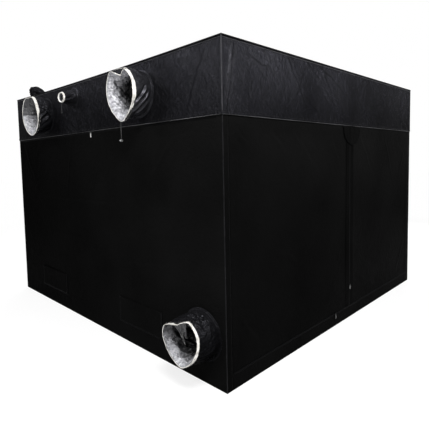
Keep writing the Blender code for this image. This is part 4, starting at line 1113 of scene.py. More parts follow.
def makeBand(side, seed, look):
    crosswise = side in ("front", "back")
    reach = bandFace if crosswise else bandFace - look["lap"]
    holes, calms = [], []
    if side == "left":
        for sleeve in sleeveLooks.values():
            if sleeve["face"] == bandFace:
                holes.append({"u": sleeve["y"], "v": sleeve["z"], "radius": sleeve["base"]})
                calms.append(calmAround(sleeve))
    low, high = (-reach, seamHeight), (reach, bandTop)
    step = clothBuild["bandStep"] if side in ("front", "left") else clothBuild["hiddenStep"]

    def shape(u, v):
        over = np.clip(1 - (bandTop - v) / look["roundOver"], 0, 1) ** 2
        hang = clothHang(u, v, low, high, seed, look["slantDeg"], bandHangLook, bandRidges[side], calms)
        return hang - over * look["overIn"]

    def hemWave(u):
        return look["hemWave"] * softNoise(u, u * 0, look["hemWaveCell"], seed + 30)

    def hemShape(u, v):
        share = (v - seamHeight) / look["hemHigh"]
        crown = (1 - abs(2 * share - 1) ** 5) * look["hemProud"]
        return crown - look["hemSunk"] + hemWave(u)

    panel = makeClothPanel(
        f"cover_band_{side}", side, bandFace, evenSteps(-reach, reach, step),
        evenSteps(seamHeight + look["foot"], bandTop, step), shape, holes=holes,
        materials=(bandCanvas, wallFilm),
    )
    hemReach = reach + (look["hemProud"] if crosswise else 0.0)
    hem = makeClothPanel(
        f"band_hem_{side}", side, bandFace, evenSteps(-hemReach, hemReach, look["hemStep"]),
        seamHeight + look["hemHigh"] * np.array(look["hemShares"]), hemShape, materials=(bandCanvas,),
        thickness=look["hemThick"],
    )
    line = np.linspace(-reach, reach, 180)
    lipWave = look["lipWave"] * softNoise(line, line * 0, look["waveCell"], seed + 40)
    out = look["hemProud"] - look["lipSunk"] + hemWave(line)
    path = alongBand(side, line, seamHeight + look["lipUp"] + lipWave, out)
    lip = makeTube(f"band_lip_{side}", path, look["lipRadius"], hemLipHighlight)
    out = look["hemProud"] - look["hemSunk"] + hemWave(line)
    rows = [(alongBand(side, line, seamHeight + look["stitchUp"], out), sideOutward[side])]
    stitches = makeDashes(f"band_stitches_{side}", thread, rows, **look["stitch"])
    # the top seam is a tube of the paler tape, a painted highlight line under the roof's edge
    out = -look["topSeamSunk"] + look["topSeamWave"] * softNoise(line, line * 0, look["waveCell"], seed)
    path = alongBand(side, line, roofTop - look["topSeamDrop"], out)
    topSeam = makeTube(f"band_top_seam_{side}", path, look["topSeamRadius"], edgeTape)
    if side == "left":
        for piece in (panel, hem, lip, stitches, topSeam):
            movePoints(piece, sagLeft)
    belong(panel, mainBody, "black_cloth", f"hood_band_{side}")
    belong(hem, mainBody, "black_cloth")
    belong(lip, mainBody, "black_cloth")
    belong(stitches, mainBody, None)
    belong(topSeam, mainBody, "black_cloth")


def makeSaggedRail(look):
    # the top rail over the sleeve wall, bent down a little by the cover's pull
    low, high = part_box("top_rail_left")
    radius = (high.z - low.z) / 2
    x, z = (low.x + high.x) / 2, (low.z + high.z) / 2
    sag = look["leftSag"] * look["railShare"]
    path = [(x, y, z - sag * (1 - (y / high.y) ** 2)) for y in np.linspace(low.y, high.y, 49)]
    rail = makeTube("top_rail_cover_left", path, radius, steelCoat, sides=28)
    belong(rail, mainBody, "coated_steel", "top_rail_left")


roofLook = {
    "sag": 0.0052, "ripple": 0.0013,  # little enough for the bars to slide under it
    "step": 0.02, "under": 0.0002, "edgeCalm": (0.03, 0.26), "sleeveCalm": (0.10, 0.30), "slackCell": 0.7,
    "slantDeg": 78, "rippleCells": (0.5, 0.07), "seed": 21,
    "pipeIn": 0.0022, "pipeDown": 0.0018, "pipe": 0.0056,
}


def makeRoof(look):
    bars = [f"hanging_bar_{number}" for number in (1, 2, 3)]
    middles = [0.5 * (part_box(bar)[0].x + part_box(bar)[1].x) for bar in bars]
    lines = sorted([-bandFace, *middles, bandFace])
    hole = {"u": roofSleeveLook["x"], "v": roofSleeveLook["y"], "radius": roofSleeveLook["radius"]}

    def shape(u, v):
        edge = easeBetween(*look["edgeCalm"], bandFace - np.maximum(abs(u), abs(v)))
        calm = easeBetween(*look["sleeveCalm"], np.hypot(u - hole["u"], v - hole["v"]))
        between = np.zeros_like(u)
        for low, high in zip(lines, lines[1:]):
            share = np.clip((u - low) / (high - low), 0, 1)
            between = np.maximum(between, np.sin(math.pi * share) ** 1.2 * ((u >= low) & (u <= high)))
        slack = 0.75 + 0.5 * softNoise(u, v, look["slackCell"], look["seed"])
        folds = slantedFolds(u, v, look["slantDeg"], *look["rippleCells"], look["seed"] + 1)
        ripple = look["ripple"] * folds * between
        across = np.sin(math.pi * np.clip((v + bandFace) / (2 * bandFace), 0, 1)) ** 0.5
        return np.minimum((-look["sag"] * slack * between * across + ripple) * edge * calm, 0) - look["under"]

    meshLines = evenSteps(-bandFace, bandFace, look["step"])
    panel = makeClothPanel(
        "cover_roof", "top", roofTop, meshLines, meshLines, shape, holes=[hole],
        materials=(bandCanvas, wallFilm),
    )
    movePoints(panel, sagLeft)
    belong(panel, mainBody, "black_cloth", "roof_panel")
    edge = bandFace - look["pipeIn"]
    corners = [(-edge, -edge), (edge, -edge), (edge, edge), (-edge, edge), (-edge, -edge)]
    for side, start, end in zip(("front", "right", "back", "left"), corners, corners[1:]):
        run = np.linspace(0, 1, 60)[:, None]
        path = np.array(start) * (1 - run) + np.array(end) * run
        path = np.column_stack([path, np.full(60, roofTop - look["pipeDown"])])
        pipe = makeTube(f"roof_piping_{side}", path, look["pipe"], roofTape)
        if side == "left":
            movePoints(pipe, sagLeft)
        belong(pipe, mainBody, "black_cloth")


makeSaggedRail(bandLook)
for side, seed in (("front", 11), ("back", 12), ("left", 13), ("right", 14)):
    makeBand(side, seed, bandLook)
makeRoof(roofLook)
print("bands and roof made")


# lower walls, fixed strips beside the door, and the cover's floor

wallRidges = {
    "left": (
        ((-1.240, 1.470), (-1.245, 1.020), 0.011, 0.0046), ((-1.307, 1.260), (-1.275, 0.800), 0.011, 0.0040),
        ((-1.100, 1.540), (-0.760, 1.180), 0.016, 0.0036), ((1.340, 1.530), (1.080, 1.150), 0.016, 0.0036),
        ((-0.430, 1.000), (1.020, 1.004), 0.012, 0.0050), ((0.150, 0.700), (0.950, 0.690), 0.012, 0.0026),
        ((-1.000, 0.640), (-0.350, 0.560), 0.014, 0.0026), ((0.300, 1.540), (0.420, 1.060), 0.013, 0.0030),
    ),
    "right": (
        ((-1.300, 1.520), (-1.000, 1.120), 0.016, 0.0040), ((1.300, 1.520), (1.040, 1.160), 0.016, 0.0040),
        ((-1.000, 1.000), (0.900, 1.006), 0.012, 0.0046), ((-0.300, 0.640), (0.600, 0.650), 0.013, 0.0030),
        ((-1.330, 0.500), (-1.080, 0.150), 0.014, 0.0036), ((1.330, 0.560), (1.140, 0.130), 0.014, 0.0036),
    ),
    "back": (
        ((-1.300, 1.500), (-0.960, 1.100), 0.016, 0.0040), ((1.310, 1.500), (1.020, 1.060), 0.016, 0.0040),
        ((-0.900, 1.000), (1.100, 0.996), 0.012, 0.0046), ((-0.200, 1.480), (-0.160, 0.700), 0.012, 0.0030),
        ((0.500, 0.620), (1.100, 0.200), 0.014, 0.0030), ((-1.330, 0.520), (-1.100, 0.140), 0.014, 0.0036),
    ),
}
doorRidges = (
    ((-1.070, 1.550), (-0.830, 1.350), 0.012, 0.0052), ((-1.385, 1.545), (-1.235, 1.400), 0.012, 0.0048),
    ((-1.333, 1.400), (-1.326, 0.850), 0.010, 0.0034), ((-0.800, 1.540), (-0.420, 1.220), 0.014, 0.0036),
    ((-0.250, 1.540), (-0.060, 1.180), 0.013, 0.0034), ((-1.000, 0.760), (-0.500, 0.500), 0.015, 0.0030),
    ((0.050, 0.240), (-0.190, 0.100), 0.013, 0.0045), ((-1.330, 0.420), (-1.120, 0.140), 0.014, 0.0036),
    ((-0.560, 0.980), (-0.120, 0.900), 0.013, 0.0028), ((0.240, 1.540), (0.520, 1.160), 0.014, 0.0034),
    ((0.780, 1.540), (1.020, 1.060), 0.014, 0.0036), ((1.360, 1.520), (1.160, 1.120), 0.014, 0.0040),
    ((0.260, 0.300), (0.620, 0.140), 0.014, 0.0036), ((0.820, 0.860), (1.300, 0.740), 0.014, 0.0030),
    ((1.330, 0.480), (1.100, 0.160), 0.014, 0.0036),
)


wallLook = {"lap": 0.0023, "slantDeg": 40, "behindBand": 0.03, "least": -0.0008}
ventLooks = [
    {"word": word, "y": y, "z": 0.228, "halfWide": 0.220, "halfHigh": 0.065, "margin": 0.030}
    for word, y in (("front", -0.620), ("back", 0.750))
]


def makeWall(side, seed, look):
    reach = wallFace if side != "back" else wallFace - look["lap"]
    low, high = (-reach, wallFoot), (reach, wallTop)
    step = clothBuild["seenStep"] if side == "left" else clothBuild["hiddenStep"]
    holes, calms, extraU, extraV = [], [], set(), set()
    if side == "left":
        sleeve = sleeveLooks["duct_sleeve_lower_front"]
        holes.append({"u": sleeve["y"], "v": sleeve["z"], "radius": sleeve["base"]})
        calms.append(calmAround(sleeve))
        for vent in ventLooks:
            y, z, halfWide, halfHigh = vent["y"], vent["z"], vent["halfWide"], vent["halfHigh"]
            holes.append({"u": y, "v": z, "halfU": halfWide, "halfV": halfHigh})
            extraU |= {y - halfWide, y + halfWide}
            extraV |= {z - halfHigh, z + halfHigh}

    def shape(u, v):
        hang = clothHang(u, v, low, high, seed, look["slantDeg"], wallHangLook, wallRidges[side], calms)
        return np.where(v > seamHeight - look["behindBand"], np.minimum(hang, look["least"]), hang)

    panel = makeClothPanel(
        f"cover_wall_{side}", side, wallFace, evenSteps(-reach, reach, step, extraU),
        evenSteps(wallFoot, wallTop, step, extraV), shape, holes=holes,
        materials=(sideCanvas if side == "left" else canvas, wallFilm),
    )
    belong(panel, mainBody, "black_cloth", f"wall_{side}")


for side, seed in (("left", 31), ("right", 32), ("back", 33)):
    makeWall(side, seed, wallLook)


doorLook = {
    "edge": 1.400, "gap": 0.0003, "zipX": 0.076, "zipHalf": 0.006, "foot": 0.1013, "top": 1.5747,
    "hingeReach": 0.060, "lap": 0.0023, "stripStep": 0.009, "seed": 35, "slantDeg": 42, "least": -0.0006,
    "facing": 0.058, "facingProud": 0.0014, "facingThick": 0.0018, "facingStep": (0.004, 0.012),
    "facingWave": 0.0003, "stitchIn": 0.0035, "stitchPair": 0.0085, "seamStitch": (0.004, 0.0009),
    "stitch": {"length": 0.005, "gap": 0.003}, "stitchEnd": 0.004, "seamStitchFoot": 0.01, "waveCell": 0.05,
    "calmZip": (0.004, 0.11), "calmFoot": (0.012, 0.10), "calmSeam": (0.002, 0.05), "calmTop": (0.0, 0.11),
}


def doorHang(u, v):
    # the strips and the leaves hang as one wall, parted only where they are sewn or zipped
    look = doorLook
    low, high = (-wallFace, wallFoot), (wallFace, wallTop)
    hang = clothHang(u, v, low, high, look["seed"], look["slantDeg"], wallHangLook, doorRidges)
    byZip = easeBetween(*look["calmZip"], abs(u - look["zipX"]))
    byFoot = easeBetween(*look["calmFoot"], abs(v - look["foot"] + look["zipHalf"]))
    bySeam = 0.35 + 0.65 * easeBetween(*look["calmSeam"], abs(abs(u) - look["edge"]))
    byTop = easeBetween(*look["calmTop"], look["top"] - v)
    return np.minimum(hang * byZip * byFoot * bySeam * byTop, look["least"])


def upright(x, out, low, high):
    # an upright line of points before the door wall
    heights = np.linspace(low, high, 60)
    return np.column_stack([np.full(60, x), np.full(60, -wallFace - out), heights])


def makeDoorHalf(side, word, look):
    step = clothBuild["seenStep"]
    outer, inner = side * (wallFace - look["lap"]), side * look["edge"]
    low, high = min(outer, inner), max(outer, inner)
    strip = makeClothPanel(
        f"door_strip_cloth_{word}", "front", wallFace, evenSteps(low, high, look["stripStep"]),
        evenSteps(wallFoot, look["top"], step), doorHang, materials=(doorCanvas, wallFilm),
    )
    belong(strip, mainBody, "black_cloth", f"door_strip_{word}")
    free = look["zipX"] + side * (look["zipHalf"] + look["gap"])
    outer = side * (look["edge"] - look["gap"])
    low, high = min(outer, free), max(outer, free)
    leaf = makeClothPanel(
        f"door_leaf_cloth_{word}", "front", wallFace, evenSteps(low, high, step),
        evenSteps(look["foot"], look["top"], step), doorHang, materials=(doorCanvas, wallFilm),
    )
    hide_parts(f"door_leaf_{word}")
    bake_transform(leaf)
    near, far = min(free, free + side * look["facing"]), max(free, free + side * look["facing"])

    def facingShape(u, v):
        share = (u - near) / (far - near)
        crown = look["facingProud"] * (1 - abs(2 * share - 1) ** 8)
        return crown + look["facingWave"] * softNoise(u, v, look["waveCell"], 37)

    stepX, stepZ = look["facingStep"]
    facing = makeClothPanel(
        f"door_facing_{word}", "front", wallFace, evenSteps(near, far, stepX),
        evenSteps(look["foot"], look["top"], stepZ), facingShape, materials=(facingCanvas,),
        thickness=look["facingThick"],
    )
    belong(facing, f"door_{word}", "black_cloth")
    rows = []
    rowFoot, rowTop = look["foot"] + look["stitchEnd"], look["top"] - look["stitchEnd"]
    for across in (look["stitchIn"], look["facing"] - look["stitchIn"], look["facing"] - look["stitchPair"]):
        line = upright(free + side * across, look["facingProud"], rowFoot, rowTop)
        rows.append((line, sideOutward["front"]))
    stitches = makeDashes(f"door_facing_stitches_{word}", darkThread, rows, **look["stitch"])
    belong(stitches, f"door_{word}", None)
    away, sunk = look["seamStitch"]
    line = upright(side * (look["edge"] + away), -sunk, wallFoot + look["seamStitchFoot"], rowTop)
    rows = [(line, sideOutward["front"])]
    seamStitches = makeDashes(f"door_seam_stitches_{word}", thread, rows, **look["stitch"])
    belong(seamStitches, mainBody, None)


sillLook = {
    "gap": 0.0006, "step": (0.012, 0.008), "wave": 0.0006, "waveCell": 0.09,
    "bulge": 0.0016, "bulgeX": -0.22, "bulgeWide": 0.35, "bulgeUp": 0.02, "bulgeHigh": 0.05,
    "lipIn": 0.0025, "lipTop": 0.1195, "lipThick": 0.0012, "lipSunk": 0.0003, "lipStep": 0.03,
    "headReach": 1.4440, "headFoot": 1.5505, "headHigh": 0.028, "lipRow": 0.012, "headRow": 0.009,
}


def makeSill(look):
    reach = doorLook["edge"] - look["gap"]
    top = doorLook["foot"] - look["gap"] - 2 * doorLook["zipHalf"]

    def sillShape(u, v):
        # near the zip's foot the strip stands out a little where the poles push it
        wide = np.exp(-((u - look["bulgeX"]) / look["bulgeWide"]) ** 2)
        high = np.exp(-((v - look["bulgeUp"]) / look["bulgeHigh"]) ** 2)
        wave = look["wave"] * softNoise(u, v, look["waveCell"], 38)
        return look["bulge"] * wide * high + wave - look["gap"]

    def lipShape(u, v):
        return 0 * u - look["lipSunk"]

    stepX, stepZ = look["step"]
    sill = makeClothPanel(
        "door_sill_cloth", "front", wallFace, evenSteps(-reach, reach, stepX),
        evenSteps(wallFoot, top, stepZ), sillShape,
    )
    belong(sill, mainBody, "black_cloth", "door_sill")
    lip = makeClothPanel(
        "door_sill_lip", "front", wallFace - look["lipIn"], evenSteps(-reach, reach, look["lipStep"]),
        evenSteps(wallFoot, look["lipTop"], look["lipRow"]), lipShape, thickness=look["lipThick"],
    )
    belong(lip, mainBody, "black_cloth")
    headReach, headFoot, headHigh = look["headReach"], look["headFoot"], look["headHigh"]
    head = makeClothPanel(
        "door_head_lip", "front", wallFace - look["lipIn"], evenSteps(-headReach, headReach, look["lipStep"]),
        evenSteps(headFoot, headFoot + headHigh, look["headRow"]), lipShape, thickness=look["lipThick"],
    )
    belong(head, mainBody, "black_cloth")


floorLook = {"top": 0.0019, "step": 0.05, "sunk": 0.0003, "wave": 0.0002, "thick": 0.0015}


def makeFloorSheet(look):
    lines = evenSteps(-wallFace, wallFace, look["step"])
    floor = makeClothPanel(
        "cover_floor_cloth", "top", look["top"], lines, lines,
        lambda u, v: -look["sunk"] + look["wave"] * softNoise(u, v, 0.12, 39), materials=(canvas,),
        thickness=look["thick"],
    )
    belong(floor, mainBody, "black_cloth", "cover_floor")


makeDoorHalf(-1, "left", doorLook)
makeDoorHalf(1, "right", doorLook)
makeSill(sillLook)
makeFloorSheet(floorLook)


cornerLook = {"radius": 0.0028, "foot": 0.003, "under": 0.001, "inset": 0.0016, "wave": 0.0006, "points": 40}


def makeCornerPiping(look):
    # the band's piping takes the paler tape, a painted highlight, and the wall's piping the dark one
    parts = (
        ("wall", wallFace, look["foot"], seamHeight, cornerTape),
        ("band", bandFace, seamHeight, roofTop - look["under"], edgeTape),
    )
    count = look["points"]
    for x, xWord in ((-1, "left"), (1, "right")):
        for y, yWord in ((-1, "front"), (1, "back")):
            for word, face, low, high, finish in parts:
                heights = np.linspace(low, high, count)
                wave = look["wave"] * softNoise(heights, heights * 0 + x + 2 * y, 0.11, 61)
                edge = face - look["inset"]
                path = np.column_stack([x * edge + wave, y * edge - wave, heights])
                pipe = makeTube(f"corner_piping_{word}_{yWord}_{xWord}", path, look["radius"], finish)
                belong(pipe, mainBody, "black_cloth")


makeCornerPiping(cornerLook)
print("walls, door and floor made")


# zips: woven tape with a row of coil teeth

zipLook = {
    "pitch": 0.0032, "toothWide": 0.0056, "toothLong": 0.0019, "toothHigh": 0.0009, "toothLift": 0.0004,
    "tapeThick": 0.0006, "section": (
        (-0.5, 0.0), (-0.49, 0.0004), (-0.25, 0.0005), (0, 0.0006), (0.25, 0.0005), (0.49, 0.0004),
        (0.5, 0.0),
    ),
}


def makeZipRow(zipRow, look):
    start, end, outward = (np.array(zipRow[key], float) for key in ("start", "end", "outward"))
    run = (end - start) / np.linalg.norm(end - start)
    across = np.cross(run, outward)
    path = start + np.linspace(0, 1, 120)[:, None] * (end - start)
    rings = []
    for share, lift in look["section"]:
        rings.append(path + across * zipRow["wide"] * share + outward * (zipRow["out"] + lift))
    tape = makeGrid(f"{zipRow['name']}_tape", np.array(rings), (zipTape,), roundIt=False)
    giveThickness(tape, look["tapeThick"])
    teeth = makeDashes(
        f"{zipRow['name']}_teeth", zipCoil, [(path + outward * (zipRow["out"] + look["toothLift"]), outward)],
        length=look["toothLong"], gap=look["pitch"] - look["toothLong"], width=look["toothWide"],
        rise=look["toothHigh"],
    )
    belong(tape, zipRow["body"], "black_plastic", *zipRow["stoodFor"])
    belong(teeth, zipRow["body"], "black_plastic")


zipReach = doorLook["edge"] - sillLook["gap"]
footZipHeight = doorLook["foot"] - doorLook["zipHalf"] - doorLook["gap"]
zipRows = (
    {
        "name": "door_zip", "start": (doorLook["zipX"], -wallFace, doorLook["foot"]),
        "end": (doorLook["zipX"], -wallFace, doorLook["top"]), "outward": sideOutward["front"],
        "wide": 2 * doorLook["zipHalf"], "out": -0.0006, "body": "door_left", "stoodFor": ["door_zip_chain"],
    },
    {
        "name": "bottom_zip", "start": (-zipReach, -wallFace, footZipHeight),
        "end": (zipReach, -wallFace, footZipHeight), "outward": sideOutward["front"],
        "wide": 2 * doorLook["zipHalf"], "out": -0.0006, "body": mainBody, "stoodFor": ["bottom_zip_chain"],
    },
    {
        "name": "side_zip", "start": (-wallFace, 1.40, 1.5657), "end": (-wallFace, -1.40, 1.5657),
        "outward": sideOutward["left"], "wide": 0.010, "out": -0.0012, "body": mainBody, "stoodFor": [],
    },
)
for zipRow in zipRows:
    makeZipRow(zipRow, zipLook)


# half-round tab over the top of the door zip, left bare

tabLook = {
    "x": 0.105, "radius": 0.145, "top": 1.5775, "straight": 0.006, "back": 1.4523, "thick": 0.0009,
    "out": 0.0009, "footOut": 0.0010, "wave": 0.0004, "bulge": 0.0050, "bulgeWide": 0.020, "bulgeHigh": 0.011,
    "calmed": (0.065, 0.145), "binding": 0.0016, "stitchIn": 0.0055, "stitchOut": 0.0012,
    "foldTop": 1.5732, "foldKeep": 0.02, "waveCell": 0.03, "stitch": 0.004,
}


def tabCurl(x, z):
    # the tab stands away a little at its foot, and bulges over the place where the zip's slider ends
    look = tabLook
    down = look["top"] - z
    drop = np.clip(down / (look["radius"] + look["straight"]), 0, 1)
    foot = look["footOut"] * drop ** 2 * (1 + 0.8 * np.cos((x - look["x"]) * 32))
    foot = foot + look["wave"] * softNoise(x, z, look["waveCell"], 45) * drop
    middle = np.exp(-((x - doorLook["zipX"]) / look["bulgeWide"]) ** 4)
    middle = middle * easeBetween(0, look["bulgeHigh"], down)
    return foot + look["bulge"] * middle * (1 - 0.55 * easeBetween(*look["calmed"], down))


def makeTab(look):
    rings = []
    turns = np.linspace(0, -math.pi, 73)
    for share in np.linspace(0, 1, 26):
        x = look["x"] + look["radius"] * share * np.cos(turns)
        z = look["top"] - look["straight"] * share + look["radius"] * share * np.sin(turns)
        rings.append(np.column_stack([x, -look["back"] - look["out"] - tabCurl(x, z), z]))
    tab = makeGrid("zip_tab_cloth", np.array(rings), (canvas,), roundIt=False)
    giveThickness(tab, look["thick"])
    binding = makeTube("zip_tab_binding", rings[-1], look["binding"], roofTape, sides=10)
    inner = look["radius"] - look["stitchIn"]
    x = look["x"] + inner * np.cos(turns)
    z = look["top"] - look["straight"] + inner * np.sin(turns)
    row = np.column_stack([x, -look["back"] - look["stitchOut"] - tabCurl(x, z), z])
    rows = [(row, sideOutward["front"])]
    stitches = makeDashes("zip_tab_stitches", darkThread, rows, length=look["stitch"])
    for piece in (tab, binding, stitches):
        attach(piece, "zip_tab")
        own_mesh(piece)
    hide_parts("zip_tab")


makeTab(tabLook)


# vents: a flap with a bound edge outside, a net inside

flapLook = {
    "step": 0.009, "thick": 0.0010, "out": 0.0018, "wave": 0.0005, "edge": 0.05, "binding": 0.0010,
    "bindingOut": 0.0013, "stitchIn": 0.009, "stitchTop": 0.004, "stitchOut": 0.0019, "bendReach": 0.025,
    "stitch": {"length": 0.005, "gap": 0.003, "rise": 0.0003},
}


def straightOut(start, end, out, count):
    # a straight line of points before the left wall, between two places on it
    run = np.linspace(0, 1, count)[:, None]
    line = np.array(start) * (1 - run) + np.array(end) * run
    return np.column_stack([np.full(count, -wallFace - out), line])


def makeVent(vent, look):
    word = vent["word"]
    halfWide, halfHigh = vent["halfWide"] + vent["margin"], vent["halfHigh"] + vent["margin"]
    low, high = (vent["y"] - halfWide, vent["z"] - halfHigh), (vent["y"] + halfWide, vent["z"] + halfHigh)

    def shape(u, v):
        edge = easeBetween(0, look["edge"], edgeDistance(u, v, low, high))
        return look["out"] + look["wave"] * edge * (0.4 + softNoise(u, v, 0.09, 71)) - 0.0001 * edge

    flap = makeClothPanel(
        f"vent_flap_cloth_{word}", "left", wallFace, evenSteps(low[0], high[0], look["step"]),
        evenSteps(low[1], high[1], look["step"]), shape, materials=(sideCanvas, wallFilm),
        thickness=look["thick"],
    )
    pieces = [flap]
    backFoot, frontTop = (high[0], low[1]), (low[0], high[1])
    for edge, start, end in (("foot", low, backFoot), ("front", low, frontTop), ("back", backFoot, high)):
        path = straightOut(start, end, look["bindingOut"], 40)
        pieces.append(makeTube(f"vent_binding_{edge}_{word}", path, look["binding"], cornerTape))
    inset = look["stitchIn"]
    top = high[1] - look["stitchTop"]
    corners = [(low[0] + inset, top), (low[0] + inset, low[1] + inset), (high[0] - inset, low[1] + inset),
               (high[0] - inset, top)]
    rows = []
    for start, end in zip(corners, corners[1:]):
        rows.append((straightOut(start, end, look["stitchOut"], 30), sideOutward["left"]))
    pieces.append(makeDashes(f"vent_stitches_{word}", thread, rows, **look["stitch"]))
    for piece in pieces:
        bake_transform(piece)
    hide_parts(f"vent_flap_{word}")


netLook = {
    "margin": 0.015, "pitch": 0.005, "strand": 0.0009, "inside": 0.0031, "thick": 0.0006, "second": 0.0005,
    "border": 0.012, "borderOut": 0.0002, "borderThick": 0.0015,
}


def makeNet(vent, look):
    # crossing strands, with a sewn border
    y, z = vent["y"], vent["z"]
    halfWide, halfHigh = vent["halfWide"] + look["margin"], vent["halfHigh"] + look["margin"]
    x = -wallFace + look["inside"]
    points, faces = [], []

    def strip(y0, z0, y1, z1, depth, thick):
        base = len(points)
        for side in (depth, depth + thick):
            points.extend([(x + side, y0, z0), (x + side, y1, z0), (x + side, y1, z1), (x + side, y0, z1)])
        faces.extend([
            [base, base + 1, base + 2, base + 3], [base + 7, base + 6, base + 5, base + 4],
            [base, base + 4, base + 5, base + 1], [base + 1, base + 5, base + 6, base + 2],
            [base + 2, base + 6, base + 7, base + 3], [base + 3, base + 7, base + 4, base],
        ])

    half = look["strand"] / 2
    for across in np.arange(y - halfWide, y + halfWide, look["pitch"]):
        strip(across - half, z - halfHigh, across + half, z + halfHigh, 0, look["thick"])
    for up in np.arange(z - halfHigh, z + halfHigh, look["pitch"]):
        strip(y - halfWide, up - half, y + halfWide, up + half, look["second"], look["thick"])
    border = look["border"]
    for y0, z0, y1, z1 in (
        (-halfWide, -halfHigh, halfWide, border - halfHigh),
        (-halfWide, halfHigh - border, halfWide, halfHigh),
        (-halfWide, -halfHigh, border - halfWide, halfHigh),
        (halfWide - border, -halfHigh, halfWide, halfHigh),
    ):
        strip(y + y0, z + z0, y + y1, z + z1, -look["borderOut"], look["borderThick"])
    net = newObject(f"vent_net_strands_{vent['word']}", points, faces, (netYarn,))
    net.data.shade_flat()
    belong(net, mainBody, "vent_net", f"vent_net_{vent['word']}")


for vent in ventLooks:
    makeVent(vent, flapLook)
    makeNet(vent, netLook)


# lift-out spill tray: one cloth folded up at the edges, with a bound rim

trayLook = {
    "corner": 0.022, "turn": 0.010, "thick": 0.0012, "rimRadius": 0.0016, "rimUp": 0.0004, "sideFrom": 0.018,
    "sideTo": 0.002,
    "floorShares": (0, 0.02, 0.1, 0.2, 0.3, 0.4, 0.5, 0.6, 0.7, 0.8, 0.88, 0.94, 0.97, 0.985),
    "floorWave": 0.0009, "sideSlack": 0.0035, "slackHeight": 0.06, "turnedUp": 0.12,
}


def roundedRing(halfX, halfY, corner, z, perSide=90, perCorner=10):
    # points round a rectangle with round corners
    insideX, insideY = halfX - corner, halfY - corner
    corners = ((1, 1, 0), (-1, 1, 90), (-1, -1, 180), (1, -1, 270))
    points = []
    for (nowX, nowY, start), (nextX, nextY, _) in zip(corners, corners[1:] + corners[:1]):
        for step in range(perCorner + 1):
            turn = math.radians(start + 90 * step / perCorner)
            x, y = corner * math.cos(turn), corner * math.sin(turn)
            points.append((nowX * insideX + x, nowY * insideY + y))
        end = (nextX * insideX + x, nextY * insideY + y)
        last = points[-1]
        for step in range(1, perSide):
            share = step / perSide
            points.append((last[0] + (end[0] - last[0]) * share, last[1] + (end[1] - last[1]) * share))
    return np.column_stack([np.array(points), np.full(len(points), z)])


def makeTray(look):
    low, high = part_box("spill_tray")
    half = (high.x - low.x) / 2
    floor = low.z + look["thick"]
    rings = []
    for share in look["floorShares"]:
        ring = roundedRing(half * share, half * share, look["corner"] * share, floor)
        ring[:, 2] += look["floorWave"] * (softNoise(ring[:, 0], ring[:, 1], 0.09, 81) + 0.7) * (share < 0.98)
        rings.append(ring)
    for turn in np.radians(np.linspace(0, 90, 6)):
        inset = look["turn"] * (1 - math.sin(turn))
        up = floor + look["turn"] * (1 - math.cos(turn))
        rings.append(roundedRing(half - inset, half - inset, look["corner"] - inset, up))
    for rise in np.linspace(look["sideFrom"], high.z - low.z - look["sideTo"], 5):
        ring = roundedRing(half, half, look["corner"], low.z + rise)
        along = ring[:, 0] + ring[:, 1] * 1.7
        slack = look["sideSlack"] * (rise / look["slackHeight"])
        slack = slack * (softNoise(along, along * 0, 0.35, 82) + 0.6)
        for axis in (0, 1):
            ring[:, axis] -= np.sign(ring[:, axis]) * slack * (abs(ring[:, axis]) > half - look["corner"])
        rings.append(ring)
    tray = makeGrid("spill_tray_cloth", np.array(rings), (trayCanvas,))
    giveThickness(tray, look["thick"])
    path = np.concatenate([rings[-1], rings[-1][:1]]) + np.array((0, 0, look["rimUp"]))
    rim = makeTube("spill_tray_rim", path, look["rimRadius"], edgeTape)
    belong(tray, "spill_tray", "tray_cloth", "spill_tray")
    belong(rim, "spill_tray", "tray_cloth")


makeTray(trayLook)
print("tab, zips, vents and tray made")


# draw cord tails

cordLooks = {
    "draw_cord_front": {"length": 0.132, "end": "fitting", "pieces": ["cord_lock_body", "cord_lock_plunger"]},
    "draw_cord_cable_sleeve": {"length": 0.075, "end": "knot", "pieces": []},
}


tailLook = {
    "thick": 0.004, "steps": 28, "knotUp": 0.006, "knotWide": 0.0013, "knotHigh": 0.0022, "knotCord": 0.0017,
}


def makeTail(node, tail, look):
    low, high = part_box(node)
    x, y = (low.x + high.x) / 2, (low.y + high.y) / 2
    curve = bpy.data.curves.new(node, "CURVE")
    curve.dimensions = "3D"
    curve.bevel_depth = look["thick"] / 2
    curve.bevel_resolution = 3
    curve.use_fill_caps = True
    spline = curve.splines.new("POLY")
    spline.points.add(look["steps"])
    for index, point in enumerate(spline.points):
        point.co = (x, y, high.z - tail["length"] * index / look["steps"], 1)
    cord = bpy.data.objects.new(f"{node}_braid", curve)
    curve.materials.append(cordSheath)
    scene.collection.objects.link(cord)
    belong(cord, mainBody, "cord", node)
    pieces = list(tail["pieces"])
    if tail["end"] == "knot":
        knot = makeKnot(x, y, high.z - tail["length"] + look["knotUp"], look)
        belong(knot, mainBody, "cord")
        pieces.append(knot.name)


def makeKnot(x, y, z, look):
    # an overhand knot: three lobes of the cord wound round each other
    turns = np.linspace(0, 2 * math.pi, 60)
    wide = look["knotWide"]
    path = np.column_stack([
        x + wide * (np.sin(turns) + 1.6 * np.sin(2 * turns)) * 0.8,
        y + wide * (np.cos(turns) - 1.6 * np.cos(2 * turns)) * 0.8,
        z - look["knotHigh"] * np.sin(3 * turns),
    ])
    return makeTube("cable_sleeve_knot", path, look["knotCord"], cordSheath)


for node, tail in cordLooks.items():
    makeTail(node, tail, tailLook)
print("cord tails made")


# rigid pieces keep their solids and take their finishes

